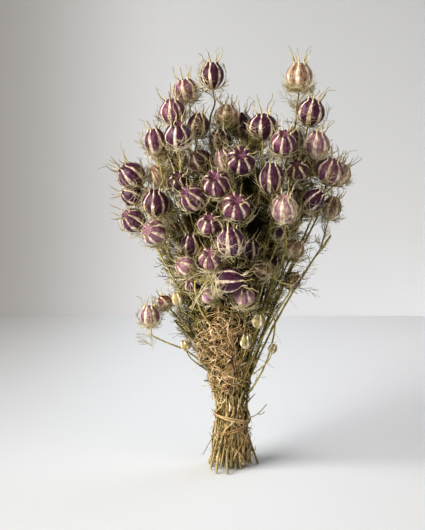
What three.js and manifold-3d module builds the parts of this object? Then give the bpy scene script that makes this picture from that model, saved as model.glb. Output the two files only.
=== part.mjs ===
// A dried bunch of nigella, tied with raffia and standing on its cut stems.
// Millimetres, +Z up, and -Y faces the viewer. The origin is the cut end of the middle stem.
import * as THREE from 'three';
import { mergeVertices } from 'three/addons/utils/BufferGeometryUtils.js';
import Module from 'manifold-3d';

const wasm = await Module();
wasm.setup();

// Driving sizes of the bunch
const BUNCH_RADIUS = 15.4; // centre line of the outermost stems where they are tied
const FOOT_FLARE = 1.5; // how much wider the cut ends stand than the tied part
const FOOT_SHIFT = -2.5; // the cut ends stand this much to the front, under the heavier side
const TIED_TO = 62; // top of the stretch where the stems run side by side
const STEM_RADIUS = 1.45; // to the corners of a three-sided stem
const STEM_SIDES = 3;
const MIDDLE_STEM_RADIUS = 2.1;
const STEM_STEPS = 4; // straight stretches of a stem above the tie
const STEM_ROOT = 70; // height where a stem is rooted in the packed middle
const ROOT_DRAW = 0.72; // how far the stems are drawn in there, against the tied bunch
const STEM_PITCH = 1.85; // least pitch of the tied stems, times the bunch's radius over the root of their count
const OUTER_SHARE = 0.8; // stems further out than this share of the tied bunch show at its foot
const STUB_TOP = 32; // height where a cut end is rooted in the packed middle
const STUB_EVERY = 3; // of the inner stems, one in so many has a cut end
const SPLAYED_STEM = [[27, -2, 0], [14, -2, 40]]; // the loose stem at the right of the foot
const NECK = 5; // length of the narrower neck right under a pod
const HOOKED_NECK = 2; // the same on a stem that bends right under its pod
const SEAT_GAP = 0.5; // air between the top of a stem and its pod
const SIMPLIFY = 0.1; // detail under this size is left out of the joined stems
const CLEARANCE = 0.35; // air kept between all other pieces
const PASSING_ROOM = 4; // room that a stem leaves to the pods that it passes
const THREAD_ROOM = 2.4; // room that bracts and leaves leave to each other

// Driving sizes of a pod, as shares of its width and height
const CROWN_SHARE = 0.45; // radius of the rim where the horns stand
const HORN_SHARE = 0.62; // length of a horn against the pod's width
const HORN_WIDTH = 1.5; // across the root of a horn
const PODS_APART = 1.2; // air that the pods keep when they settle
const PAIR_SINK = 4.5; // how deep the two pods of a grown-together pair meet

// The raffia windings
const TIE_WIDTH = 3.4;
const TIE_THICKNESS = 0.9;
const TIE_SIDES = 16;
const WINDINGS = [[50, 13, 3.3], [40, 16, 0.4]]; // middle height, slant and the heading of its top

// One row for a pod: across, deep and up give its centre, then its width and height,
// how far its axis leans from upright, the heading it leans to (0 right, 90 back,
// 180 left, 270 front) and its tone. A row that starts with + touches the row above.
const POD_ROWS = [
  [-20, -8, 397, 23, 26, 3, 180, 'plum'],
  [-46, 2, 382, 25, 24, 12, 190, 'blush'],
  [-59, -14, 362, 25, 25, 15, 250, 'mauve'],
  [-53, -42, 340, 27, 27, 28, 265, 'plum'],
  [-76, -20, 333, 21, 26, 8, 170, 'mauve'],
  [-34, -8, 348, 22, 24, 10, 300, 'brown'],
  [-6, 6, 356, 24, 25, 4, 0, 'straw'],
  [-12, -10, 334, 22, 23, 5, 90, 'brown'],
  [-32, -15, 313, 25, 23, 35, 200, 'brown'],
  [-98, -20, 300, 28, 27, 45, 195, 'plum'],
  ['+', -99, -14, 278, 22, 22, 65, 188, 'plum'],
  [-73, -18, 299, 20, 24, 40, 220, 'straw'],
  [-8, -34, 315, 20, 23, 20, 200, 'blush'],
  [7, -62, 318, 27, 25, 62, 268, 'plum'],
  [66, 0, 396, 26, 28, 2, 0, 'straw'],
  [77, -12, 361, 27, 27, 15, 320, 'plum'],
  [29, -28, 348, 28, 25, 10, 270, 'plum'],
  [48, -48, 333, 24, 26, 40, 272, 'mauve'],
  [82, -22, 329, 26, 28, 12, 290, 'blush'],
  [62, 6, 334, 18, 20, 6, 0, 'brown'],
  [95, -24, 304, 27, 26, 18, 320, 'mauve'],
  ['+', 106, -4, 300, 24, 24, 30, 10, 'straw'],
  [-75, -40, 274, 25, 27, 15, 265, 'plum'],
  [-98, -18, 256, 24, 25, 55, 215, 'plum'],
  [-76, -60, 249, 24, 23, 72, 234, 'blush'],
  [-53, -44, 295, 22, 22, 50, 265, 'brown'],
  [-37, -66, 283, 25, 26, 54, 226, 'plum'],
  [-18, -70, 296, 26, 25, 57, 260, 'mauve'],
  [2, -78, 275, 27, 27, 56, 270, 'mauve'],
  [-24, -64, 257, 21, 21, 48, 275, 'mauve'],
  [-3, -80, 242, 28, 27, 10, 240, 'plum'],
  [-41, -50, 234, 20, 23, 12, 270, 'plum'],
  [-22, -72, 225, 22, 22, 55, 262, 'blush'],
  [-46, -60, 217, 20, 18, 60, 200, 'blush'],
  [-57, -20, 244, 17, 18, 20, 180, 'brown'],
  [36, -58, 300, 25, 30, 3, 270, 'plum'],
  [63, -36, 306, 22, 22, 50, 255, 'brown'],
  [48, -72, 272, 26, 29, 30, 262, 'blush'],
  [77, -38, 277, 21, 25, 45, 345, 'plum'],
  [99, -6, 266, 20, 23, 15, 330, 'straw'],
  [47, -38, 245, 16, 17, 20, 0, 'plum'],
  [61, -30, 227, 19, 20, 30, 20, 'straw'],
  [18, -40, 229, 17, 21, 10, 270, 'plum'],
  [42, -22, 212, 16, 17, 15, 300, 'plum'],
  [28, -50, 209, 14, 18, 60, 195, 'straw'],
  [-5, -72, 204, 26, 30, 86, 350, 'plum'],
  [11, -58, 185, 20, 19, 22, 265, 'blush'],
  [-23, -60, 187, 16, 15, 50, 200, 'blush'],
  [-40, -46, 196, 17, 18, 50, 250, 'plum'],
  [-82, -28, 160, 19, 22, 4, 200, 'blush'],
  [-68, -16, 172, 15, 15, 40, 180, 'brown'],
  [59, -20, 195, 17, 18, 55, 350, 'mauve'],
  [-74, 34, 322, 26, 25, 30, 130, 'mauve'],
  ['+', -56, 50, 310, 24, 25, 40, 110, 'plum'],
  [8, 30, 348, 25, 25, 10, 95, 'plum'],
  ['+', 22, 44, 332, 26, 24, 30, 70, 'blush'],
  [70, 36, 322, 25, 26, 18, 60, 'plum'],
  ['+', 88, 26, 304, 24, 25, 45, 30, 'mauve'],
  [-88, 26, 272, 24, 25, 45, 160, 'blush'],
  ['+', -72, 44, 262, 25, 24, 55, 130, 'plum'],
  [-22, 70, 292, 27, 26, 45, 100, 'plum'],
  ['+', 2, 74, 280, 25, 25, 55, 85, 'mauve'],
  [66, 10, 273, 20, 22, 12, 20, 'straw'],
  ['+', 80, 26, 264, 23, 24, 50, 40, 'plum'],
  [-40, 62, 240, 24, 25, 35, 120, 'mauve'],
  ['+', -20, 70, 230, 22, 23, 60, 100, 'straw'],
  [28, 70, 246, 25, 26, 40, 75, 'plum'],
  ['+', 48, 58, 236, 22, 23, 50, 55, 'blush'],
];

// Hand-laid bends of the stems that stray from the bunch or pass behind a pod, by the number of their pod
const STRAY_BENDS = {
  30: [[1, -24, 140], [0, -47, 196], [0, -57, 218]],
  49: [[-30, -16, 112], [-60, -24, 130]],
  50: [[-26, -12, 118], [-58, -16, 152]],
  39: [[52, -8, 168], [97, -7, 236]],
  51: [[24, -12, 88], [44, -16, 142]],
};
const HOOKED = [30, 45, 49]; // pods whose stems bend right under them

// Small unripe pods that grow from the leafy part: across, deep, up, width
const BUD_ROWS = [
  [23, -44, 160, 12],
  [12, -36, 138, 12],
  [36, -20, 126, 8],
  [-42, -20, 130, 9],
  [-50, -26, 178, 10],
  [-26, 40, 165, 11],
  [30, 34, 150, 11],
];

// The bracts of a pod: the side of its neck that each grows from, and how far it turns aside
const BRACT_SEATS = [[0, 0.22], [0, -0.22], [1, 0], [2, 0]];

// Half width of the leafy bunch against height: [radius, height]
const LEAFY_OUTLINE = [
  [17, 60], [20, 80], [25, 100], [32, 120], [40, 141], [58, 182], [78, 230], [92, 270],
];
const LEAF_COUNT = 84;
const LEAF_TOP = 285; // no leaf starts above this height
const LEAF_WIDTH = 1.4; // at the bend in the middle
const LEAF_SEAT = 3; // length of the stretch of stem that a leaf grows from

// Radius and height of the packed middle of the bunch, which stems and leaves stand out of
const CORE_PROFILE = [
  [0, 19], [10, 19], [16.5, 25], [16.5, 62], [18, 98], [25, 136], [32, 172], [33, 204], [24, 230], [0, 242],
];
const CORE_SIDES = 22;
const RIDGE_DEPTH = 0.12; // how far the hollows between the outer stems lie in, against the radius

// What stands at a height of a fraction of the pod: [share of height, share of radius]
const POD_RINGS = [[0.08, 0.47], [0.42, 1], [0.78, 0.85]];
const CROWN_HEIGHT = 0.96;
const DIMPLE_HEIGHT = 0.9;

const TONES = {
  plum: '#4a2840',
  mauve: '#7a4a66',
  blush: '#b795a0',
  straw: '#b7a070',
  brown: '#5b4030',
};

// A small repeatable random source, from 0 to 1
function makeRandom(seed) {
  let state = seed;
  return () => {
    state = (state * 16807) % 2147483647;
    return state / 2147483647;
  };
}

const vec = (x, y, z) => new THREE.Vector3(x, y, z);

function axisOf(lean, heading) {
  const tilt = THREE.MathUtils.degToRad(lean);
  const turn = THREE.MathUtils.degToRad(heading);
  return vec(Math.sin(tilt) * Math.cos(turn), Math.sin(tilt) * Math.sin(turn), Math.cos(tilt));
}

function readPods() {
  return POD_ROWS.map((row, number) => {
    const paired = row[0] === '+';
    const [across, deep, up, width, height, lean, heading, tone] = paired ? row.slice(1) : row;
    return {
      number,
      paired,
      centre: vec(across, deep, up),
      radius: width / 2,
      height,
      reach: Math.max(width, height) / 2,
      axis: axisOf(lean, heading),
      tone,
      ribs: width < 18 ? 5 : width < 23 ? 6 : 7,
      bentHorns: width >= 26,
    };
  });
}

// Pods that would overlap move apart, mostly in depth, and the two of a pair stay in touch
function settlePods(pods) {
  const share = vec(0.35, 1, 0.35);
  for (let round = 0; round < 120; round += 1) {
    for (let i = 0; i < pods.length; i += 1) {
      for (let j = i + 1; j < pods.length; j += 1) {
        const linked = pods[j].paired && j === i + 1;
        const apart = pods[j].centre.clone().sub(pods[i].centre);
        const distance = apart.length();
        const wanted = pods[i].reach + pods[j].reach + (linked ? -PAIR_SINK : PODS_APART);
        if (linked || distance < wanted) {
          const push = apart.multiplyScalar((wanted - distance) / distance / 2).multiply(share);
          pods[j].centre.add(push);
          pods[i].centre.sub(push);
        }
      }
    }
  }
}

const baseOf = (pod, below = 0) => pod.centre.clone().addScaledVector(pod.axis, -pod.height / 2 - below);

// Slots of the stems in the tied bunch: steep ones in the middle, spread until they fit
function waistSlots(pods) {
  const slope = (pod) => Math.hypot(pod.centre.x, pod.centre.y) / pod.centre.z;
  const order = [...pods].sort((a, b) => slope(a) - slope(b));
  const slots = [];
  order.forEach((pod, rank) => {
    const heading = Math.atan2(pod.centre.y, pod.centre.x);
    const radius = BUNCH_RADIUS * Math.sqrt(rank / pods.length);
    slots[pod.number] = new THREE.Vector2(radius * Math.cos(heading), radius * Math.sin(heading));
  });
  const middle = order[0].number;
  slots[middle].set(0, 0);
  const pitch = STEM_PITCH * BUNCH_RADIUS / Math.sqrt(pods.length);
  for (let round = 0; round < 200; round += 1) {
    for (let i = 0; i < slots.length; i += 1) {
      for (let j = i + 1; j < slots.length; j += 1) {
        const apart = slots[j].clone().sub(slots[i]);
        const distance = Math.max(apart.length(), 0.01);
        if (distance < pitch) {
          apart.multiplyScalar((pitch - distance) / distance / 2);
          slots[j].add(apart);
          slots[i].sub(apart);
        }
      }
    }
    slots[middle].set(0, 0);
    slots.forEach((slot) => slot.clampLength(0, BUNCH_RADIUS));
  }
  return { slots, middle };
}

// A point on the smooth curve through the knots, at share t of the way
function onCurve(knots, t) {
  const place = t * (knots.length - 1);
  const k = Math.min(Math.floor(place), knots.length - 2);
  const s = place - k;
  const a = knots[Math.max(k - 1, 0)];
  const d = knots[Math.min(k + 2, knots.length - 1)];
  const blend = (axis) => {
    const [p, q, r, u] = [a[axis], knots[k][axis], knots[k + 1][axis], d[axis]];
    return q + s * (r - p + s * (2 * p - 5 * q + 4 * r - u + s * (3 * q - p - 3 * r + u))) / 2;
  };
  return vec(blend('x'), blend('y'), blend('z'));
}

// The way of a stem from the tied bunch to its pod, then pushed clear of the pods it passes
function routeStem(pod, slot, pods) {
  const start = vec(slot.x * ROOT_DRAW, slot.y * ROOT_DRAW, STEM_ROOT);
  const hooked = HOOKED.includes(pod.number);
  const neck = hooked ? HOOKED_NECK : NECK;
  const approach = baseOf(pod, hooked ? 4 * neck : Math.min(36, pod.centre.z / 8));
  const bends = (STRAY_BENDS[pod.number] ?? []).map((bend) => vec(...bend));
  if (bends.length === 0) {
    bends.push(vec(
      start.x + (approach.x - start.x) * 0.42,
      start.y + (approach.y - start.y) * 0.42,
      start.z + (approach.z - start.z) * 0.5,
    ));
  }
  const knots = [start, ...bends, approach];
  const points = [];
  for (let step = 0; step <= STEM_STEPS; step += 1) {
    points.push(onCurve(knots, step / STEM_STEPS));
  }
  points.push(baseOf(pod, 3 * neck), baseOf(pod, neck));
  bendClear(points, pod, pods);
  return [...points, baseOf(pod, SEAT_GAP)];
}

// Moves the points of a stem, but not its root and neck, until it passes all pods with room
function bendClear(points, pod, pods) {
  const last = points.length - 1;
  for (let round = 0; round < 60; round += 1) {
    for (let k = 1; k <= last; k += 1) {
      for (const share of [0, 0.25, 0.5, 0.75]) {
        const point = points[k].clone().lerp(points[k - 1], share);
        for (const other of pods) {
          const away = point.clone().sub(other.centre);
          const wanted = other.reach + PASSING_ROOM;
          if (away.length() < wanted && !(other === pod && k >= last - 1)) {
            away.setLength((wanted - away.length()) * 0.6);
            away.z *= 0.3;
            if (k < last) points[k].addScaledVector(away, 1 - share);
            if (k > 1) points[k - 1].addScaledVector(away, share);
          }
        }
      }
    }
  }
}

// Two directions across a stem at one of its points
function crossOf(points, k) {
  const ahead = points[Math.min(k + 1, points.length - 1)].clone().sub(points[Math.max(k - 1, 0)]);
  ahead.normalize();
  const across = vec(0, 1, 0).cross(ahead).normalize();
  return { across, deep: ahead.clone().cross(across) };
}

// The side of a stem that faces a direction
function sideFacing(points, k, way) {
  const { across, deep } = crossOf(points, k);
  const share = Math.atan2(way.dot(deep), way.dot(across)) / (2 * Math.PI);
  return (Math.round(share * STEM_SIDES) + 2 * STEM_SIDES - 1) % STEM_SIDES;
}

// A closed stem through the points, with thin spikes drawn out of some of its sides
function stemSolid(points, radius, spikes) {
  const corners = [];
  const rings = points.map((point, k) => {
    const { across, deep } = crossOf(points, k);
    if (k === 0) {
      across.set(1, 0, 0);
      deep.set(0, 1, 0);
    }
    const width = k > points.length - 3 ? radius * 0.8 : radius;
    return Array.from({ length: STEM_SIDES }, (_, side) => {
      const turn = (side + 0.5) * 2 * Math.PI / STEM_SIDES;
      corners.push(point.clone()
        .addScaledVector(across, width * Math.cos(turn))
        .addScaledVector(deep, width * Math.sin(turn)));
      return corners.length - 1;
    });
  });
  const faces = [];
  for (let k = 0; k < rings.length - 1; k += 1) {
    for (let side = 0; side < STEM_SIDES; side += 1) {
      const next = (side + 1) % STEM_SIDES;
      const [a, b, c, d] = [rings[k][side], rings[k][next], rings[k + 1][next], rings[k + 1][side]];
      const grown = spikes.filter((spike) => spike.ring === k && spike.side === side);
      addFace(corners, faces, a, b, c, grown[0]);
      addFace(corners, faces, a, c, d, grown[1]);
    }
  }
  const [first, last] = [rings[0], rings[rings.length - 1]];
  faces.push([first[0], first[2], first[1]], last);
  return meshOf(corners, faces);
}

// A triangle, or a spike that stands on it by way of its middle point to its tip
function addFace(corners, faces, a, b, c, spike) {
  if (!spike) {
    faces.push([a, b, c]);
    return;
  }
  const root = [a, b, c].map((index) => corners[index]);
  const centre = root[0].clone().add(root[1]).add(root[2]).divideScalar(3);
  const shrink = spike.width / Math.max(root[0].distanceTo(root[1]), root[1].distanceTo(root[2]));
  const slant = spike.tip.clone().sub(centre).normalize();
  const middle = root.map((corner) => {
    const offset = corner.clone().sub(centre).multiplyScalar(shrink);
    return spike.middle.clone().add(offset.addScaledVector(slant, -offset.dot(slant)));
  });
  const tip = corners.push(spike.tip.clone()) - 1;
  const base = [a, b, c];
  if (spike.straight) {
    faces.push([a, b, tip], [b, c, tip], [c, a, tip]);
    return;
  }
  const rim = middle.map((corner) => corners.push(corner) - 1);
  for (let side = 0; side < 3; side += 1) {
    const next = (side + 1) % 3;
    faces.push([base[side], base[next], rim[next]], [base[side], rim[next], rim[side]]);
    faces.push([rim[side], rim[next], tip]);
  }
}

function meshOf(corners, faces) {
  const geometry = new THREE.BufferGeometry();
  geometry.setAttribute('position', new THREE.Float32BufferAttribute(corners.flatMap((c) => c.toArray()), 3));
  geometry.setIndex(faces.flat());
  return geometry;
}

// Joining and cutting of closed shapes
function solidOf(geometry) {
  const bare = geometry.clone();
  bare.deleteAttribute('normal');
  bare.deleteAttribute('uv');
  const merged = mergeVertices(bare, 1e-4);
  return new wasm.Manifold(new wasm.Mesh({
    numProp: 3,
    vertProperties: new Float32Array(merged.getAttribute('position').array),
    triVerts: new Uint32Array(merged.getIndex().array),
  }));
}

function geometryOf(solid) {
  const mesh = solid.getMesh();
  const geometry = new THREE.BufferGeometry();
  geometry.setAttribute('position', new THREE.Float32BufferAttribute(mesh.vertProperties, 3));
  geometry.setIndex([...mesh.triVerts]);
  return geometry;
}

function largestOf(solid) {
  const pieces = solid.decompose();
  return pieces.reduce((best, piece) => (piece.volume() > best.volume() ? piece : best));
}

// Turns a pod's own space, with its axis along Z and its middle at the origin, to its place
function placeOf(pod) {
  const turn = new THREE.Quaternion().setFromUnitVectors(vec(0, 0, 1), pod.axis);
  return new THREE.Matrix4().compose(pod.centre, turn, vec(1, 1, 1));
}

// The curved horns on the rim of a pod, shortened where they would reach another pod or horn
function growHorns(pods) {
  const random = makeRandom(41);
  const taken = [];
  for (const pod of pods) {
    const place = placeOf(pod);
    const rim = pod.radius * CROWN_SHARE;
    const length = 2 * pod.radius * HORN_SHARE;
    const near = pods.filter((other) => other !== pod
      && other.centre.distanceTo(pod.centre) < other.reach + pod.reach + length);
    pod.horns = [];
    for (let rib = 0; rib < pod.ribs; rib += 1) {
      const turn = 2 * Math.PI * rib / pod.ribs;
      const out = vec(Math.cos(turn), Math.sin(turn), 0);
      const side = vec(-out.y, out.x, 0).multiplyScalar((random() - 0.5) * 0.5);
      const spread = 0.3 + 0.35 * random();
      const full = length * (0.75 + 0.45 * random());
      const root = out.clone().multiplyScalar(rim).setZ((CROWN_HEIGHT - 0.5) * pod.height);
      for (const share of [1, 0.75, 0.5, 0.3]) {
        const reach = full * share;
        const tip = root.clone().addScaledVector(out, spread * reach).addScaledVector(side, reach);
        tip.z = root.z + 0.95 * reach;
        const middle = root.clone().lerp(tip, 0.5);
        if (pod.bentHorns) middle.addScaledVector(out, -0.1 * reach);
        const line = [];
        for (let step = 1; step <= 8; step += 1) {
          const point = step <= 4
            ? root.clone().lerp(middle, step / 4)
            : middle.clone().lerp(tip, step / 4 - 1);
          line.push(point.applyMatrix4(place));
        }
        const blocked = line.some((point) => (
          near.some((other) => point.distanceTo(other.centre) < other.reach + 1.2)
          || taken.some((spot) => spot.pod !== pod.number && spot.point.distanceTo(point) < 2.6)));
        if (!blocked) {
          pod.horns[rib] = { middle, tip };
          line.forEach((point) => taken.push({ pod: pod.number, point }));
          break;
        }
      }
    }
  }
}

// A ribbed pod in its own space: rings with a corner on each rib, and a rim of horns.
// Grown by a margin, it is what other pieces keep clear of.
function podShape(pod, margin = 0) {
  const corners = [];
  const faces = [];
  const { ribs } = pod;
  const radius = pod.radius + margin;
  const height = pod.height + 2 * margin;
  const add = (turn, share, level) => corners.push(vec(
    Math.cos(turn) * radius * share,
    Math.sin(turn) * radius * share,
    (level - 0.5) * height,
  )) - 1;
  const angle = (rib) => 2 * Math.PI * rib / ribs;
  const bottom = add(0, 0, 0);
  const centre = add(0, 0, DIMPLE_HEIGHT);
  const rings = POD_RINGS.map(([level, share]) => (
    Array.from({ length: ribs }, (_, rib) => add(angle(rib), share, level))));
  const half = (HORN_WIDTH / 2 + margin) / (radius * CROWN_SHARE);
  const outer = Array.from({ length: ribs }, (_, rib) => add(angle(rib), CROWN_SHARE + 0.05, CROWN_HEIGHT - 0.02));
  const left = outer.map((_, rib) => add(angle(rib) - half, CROWN_SHARE - 0.07, CROWN_HEIGHT));
  const right = outer.map((_, rib) => add(angle(rib) + half, CROWN_SHARE - 0.07, CROWN_HEIGHT));
  rings.push(outer);
  for (let rib = 0; rib < ribs; rib += 1) {
    const next = (rib + 1) % ribs;
    faces.push([bottom, rings[0][next], rings[0][rib]]);
    for (let k = 0; k < rings.length - 1; k += 1) {
      const [a, b] = [rings[k][rib], rings[k][next]];
      const [c, d] = [rings[k + 1][next], rings[k + 1][rib]];
      faces.push([a, b, c], [a, c, d]);
    }
    faces.push([outer[rib], outer[next], left[next]], [outer[rib], left[next], right[rib]]);
    faces.push([right[rib], left[next], centre], [left[rib], right[rib], centre]);
    const horn = pod.horns[rib];
    const spike = horn && {
      middle: horn.middle,
      tip: horn.tip.clone().addScaledVector(horn.tip.clone().sub(horn.middle).normalize(), 4 * margin),
      width: HORN_WIDTH * 0.62 + 2 * margin,
      straight: !pod.bentHorns,
    };
    addFace(corners, faces, outer[rib], right[rib], left[rib], spike);
  }
  return meshOf(corners, faces);
}

// Places along a spike from its root, by way of its middle, to its tip
function spikeLine(root, spike) {
  const line = [];
  for (let step = 2; step <= 8; step += 1) {
    line.push(step <= 4
      ? root.clone().lerp(spike.middle, step / 4)
      : spike.middle.clone().lerp(spike.tip, step / 4 - 1));
  }
  return line;
}

// The first of some spikes whose way is clear of pods and of what stands there already
function firstClear(tries, root, owner, pods, taken) {
  for (const spike of tries) {
    const line = spikeLine(root, spike);
    const near = (point, other) => point.distanceTo(other.centre) < other.reach + 1.5;
    const hit = line.some((point) => (
      pods.some((other) => other !== owner && near(point, other))
      || taken.some((spot) => spot.owner !== owner && spot.point.distanceTo(point) < THREAD_ROOM)));
    if (!hit) {
      line.forEach((point) => taken.push({ owner, point }));
      return [spike];
    }
  }
  return [];
}

// Spikes that wrap up round the pod from the sides of its neck, as its feathery bracts do
function bractSpikes(pod, points, pods, taken, random) {
  const ring = points.length - 2;
  const { across, deep } = crossOf(points, ring);
  return BRACT_SEATS.flatMap(([side, aslant]) => {
    const tries = [1, 0.8, 0.6].map((reach) => {
      const turn = (side + 1 + aslant + (random() - 0.5) * 0.2) * 2 * Math.PI / STEM_SIDES;
      const out = across.clone().multiplyScalar(Math.cos(turn)).addScaledVector(deep, Math.sin(turn));
      const point = (share, level) => pod.centre.clone()
        .addScaledVector(out, pod.radius * share)
        .addScaledVector(pod.axis, (level - 0.5) * pod.height);
      const tip = point(1.25 + 0.3 * random(), (0.8 + 0.3 * random()) * reach);
      return { ring, side, middle: point(1.2, 0.2), tip, width: 1.1 };
    });
    return firstClear(tries, points[ring], pod, pods, taken);
  });
}

// The radius at a height, between the rows of an outline given as [radius, height]
function radiusAt(rows, height) {
  const k = rows.findIndex(([, level]) => level > height);
  if (k <= 0) return k === 0 ? rows[0][0] : rows[rows.length - 1][0];
  const share = (height - rows[k - 1][1]) / (rows[k][1] - rows[k - 1][1]);
  return rows[k - 1][0] + share * (rows[k][0] - rows[k - 1][0]);
}

// Places for thready leaves along the stems, which end near the outline of the leafy bunch
function leafSeats(routes, pods, taken) {
  const random = makeRandom(29);
  const seats = pods.map(() => []);
  let count = 0;
  for (let turnNumber = 0; count < LEAF_COUNT && turnNumber < 12 * LEAF_COUNT; turnNumber += 1) {
    const number = turnNumber % pods.length;
    const points = routes[number];
    const k = Math.floor(random() * (points.length - 3));
    const share = 0.1 + 0.8 * random();
    const root = points[k].clone().lerp(points[k + 1], share);
    const turn = Math.atan2(root.y, root.x) + (random() - 0.5) * 2.6;
    const length = 15 + 16 * random();
    const lift = length * (0.1 + 0.9 * random());
    const spare = radiusAt(LEAFY_OUTLINE, root.z + lift) + 5 - Math.hypot(root.x, root.y);
    const out = Math.min(length, Math.max(spare, 10));
    const along = (part, aside, up) => root.clone().add(vec(
      Math.cos(turn + aside) * out * part,
      Math.sin(turn + aside) * out * part,
      lift * up,
    ));
    const leaf = { middle: along(0.5, 0, 0.3), tip: along(1, 0.4, 1), width: LEAF_WIDTH };
    const bare = Math.hypot(root.x, root.y) > radiusAt(CORE_PROFILE, root.z) - 1;
    const free = seats[number].every((seat) => Math.abs(seat.at - k - share) > 0.2);
    if (bare && free && root.z < LEAF_TOP && firstClear([leaf], root, pods[number], pods, taken).length > 0) {
      seats[number].push({ ...leaf, at: k + share });
      count += 1;
    }
  }
  return seats;
}

// A stem with a short stretch put in at every leaf, the leaves on those and the bracts on its neck
function leafyStemSolid(route, bracts, seats) {
  const points = [];
  const spikes = [];
  route.forEach((point, k) => {
    points.push(point);
    seats.filter((seat) => Math.floor(seat.at) === k).sort((a, b) => a.at - b.at).forEach((seat) => {
      const root = point.clone().lerp(route[k + 1], seat.at - k);
      const ahead = route[k + 1].clone().sub(point).setLength(LEAF_SEAT);
      points.push(root, root.clone().add(ahead));
      spikes.push({ ...seat, ring: points.length - 2, out: seat.middle.clone().sub(root) });
    });
  });
  for (const spike of spikes) {
    spike.side = sideFacing(points, spike.ring, spike.out);
  }
  spikes.push(...bracts.map((bract) => ({ ...bract, ring: points.length - 2 })));
  return solidOf(stemSolid(points, STEM_RADIUS, spikes));
}

// A small ribbed bud on a short stalk that is rooted in the middle of the bunch
function budSolids([across, deep, up, width]) {
  const bud = new THREE.SphereGeometry(width / 2, 6, 5);
  bud.rotateX(Math.PI / 2);
  bud.translate(across, deep, up);
  const root = vec(across * 0.3, deep * 0.3, up - 42);
  const bend = vec(across * 0.85, deep * 0.85, up - 20);
  const stalk = stemSolid([root, bend, vec(across, deep, up - width * 0.3)], 1, []);
  return [solidOf(bud), solidOf(stalk)];
}

function coreSolid() {
  const random = makeRandom(7);
  const profile = CORE_PROFILE.map(([radius, height]) => new THREE.Vector2(radius, height));
  const lathe = new THREE.LatheGeometry(profile, CORE_SIDES);
  lathe.rotateX(Math.PI / 2);
  lathe.deleteAttribute('normal');
  lathe.deleteAttribute('uv');
  const core = mergeVertices(lathe, 1e-4);
  const place = core.getAttribute('position');
  for (let k = 0; k < place.count; k += 1) {
    const side = Math.round(Math.atan2(place.getY(k), place.getX(k)) / (2 * Math.PI) * CORE_SIDES);
    const ridge = side % 2 === 0 ? 1 : 1 - RIDGE_DEPTH;
    const swell = place.getZ(k) > TIED_TO ? ridge + 0.2 * (random() - 0.5) : ridge;
    place.setXY(k, place.getX(k) * swell, place.getY(k) * swell);
  }
  return solidOf(core);
}

// One flat winding, a closed ring of four-cornered sections, tilted about a level line
function windingSolid(height, tilt, heading, margin = 0) {
  const corners = [];
  const faces = [];
  const inner = BUNCH_RADIUS + STEM_RADIUS + CLEARANCE - margin;
  const outer = inner + TIE_THICKNESS + 2 * margin;
  const half = TIE_WIDTH / 2 + margin;
  for (let step = 0; step < TIE_SIDES; step += 1) {
    const turn = 2 * Math.PI * step / TIE_SIDES;
    const level = height + inner * Math.tan(THREE.MathUtils.degToRad(tilt)) * Math.cos(turn - heading);
    for (const [radius, up] of [[inner, -half], [outer, -half], [outer, half], [inner, half]]) {
      corners.push(vec(radius * Math.cos(turn), radius * Math.sin(turn), level + up));
    }
  }
  for (let step = 0; step < TIE_SIDES; step += 1) {
    const next = (step + 1) % TIE_SIDES;
    for (let side = 0; side < 4; side += 1) {
      const far = (side + 1) % 4;
      const [a, b] = [4 * step + side, 4 * next + side];
      const [c, d] = [4 * next + far, 4 * step + far];
      faces.push([a, b, c], [a, c, d]);
    }
  }
  return solidOf(meshOf(corners, faces));
}

function tieSolid(margin = 0) {
  return wasm.Manifold.union(WINDINGS.map((winding) => windingSolid(...winding, margin)));
}

// The cut ends under the packed middle: most reach the ground and some are cut shorter
function stubSolids(slots, middle) {
  const random = makeRandom(23);
  const isOuter = (slot) => slot.length() > OUTER_SHARE * BUNCH_RADIUS;
  const kept = slots.filter((slot, number) => isOuter(slot) || number === middle || number % STUB_EVERY === 0);
  return kept.map((slot) => {
    const stretch = FOOT_FLARE + 0.16 * (random() - 0.5);
    const central = slot === slots[middle];
    const cut = random() < 0.5 || central || isOuter(slot) ? 0 : 2 + 12 * random();
    const radius = central ? MIDDLE_STEM_RADIUS : STEM_RADIUS;
    return solidOf(stemSolid([
      vec(slot.x * stretch, slot.y * stretch + (central ? 0 : FOOT_SHIFT), cut),
      vec(slot.x * 0.8, slot.y * 0.8, STUB_TOP),
    ], radius, []));
  });
}

// All stems with their bracts and leaves, rooted in the packed middle of the bunch
function stemsSolid(pods) {
  const random = makeRandom(19);
  const { slots, middle } = waistSlots(pods);
  const splayed = stemSolid(SPLAYED_STEM.map((point) => vec(...point)), STEM_RADIUS, []);
  const parts = [coreSolid(), ...stubSolids(slots, middle), solidOf(splayed)];
  const routes = pods.map((pod) => routeStem(pod, slots[pod.number], pods));
  const taken = [];
  routes.forEach((points, number) => {
    for (let step = 0; step <= 40; step += 1) {
      const place = step / 40 * (points.length - 1);
      const k = Math.min(Math.floor(place), points.length - 2);
      taken.push({ owner: pods[number], point: points[k].clone().lerp(points[k + 1], place - k) });
    }
  });
  const bracts = pods.map((pod) => bractSpikes(pod, routes[pod.number], pods, taken, random));
  const seats = leafSeats(routes, pods, taken);
  pods.forEach(({ number }) => parts.push(leafyStemSolid(routes[number], bracts[number], seats[number])));
  BUD_ROWS.forEach((row) => parts.push(...budSolids(row)));
  const kept = pods.map((pod) => solidOf(podShape(pod, CLEARANCE).applyMatrix4(placeOf(pod))));
  const clear = wasm.Manifold.union([...kept, tieSolid(CLEARANCE)]);
  return largestOf(wasm.Manifold.union(parts).subtract(clear).simplify(SIMPLIFY));
}

function material(colour, roughness) {
  return new THREE.MeshStandardMaterial({ color: colour, roughness, metalness: 0 });
}

const bunch = new THREE.Group();
const pods = readPods();
settlePods(pods);
growHorns(pods);

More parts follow.
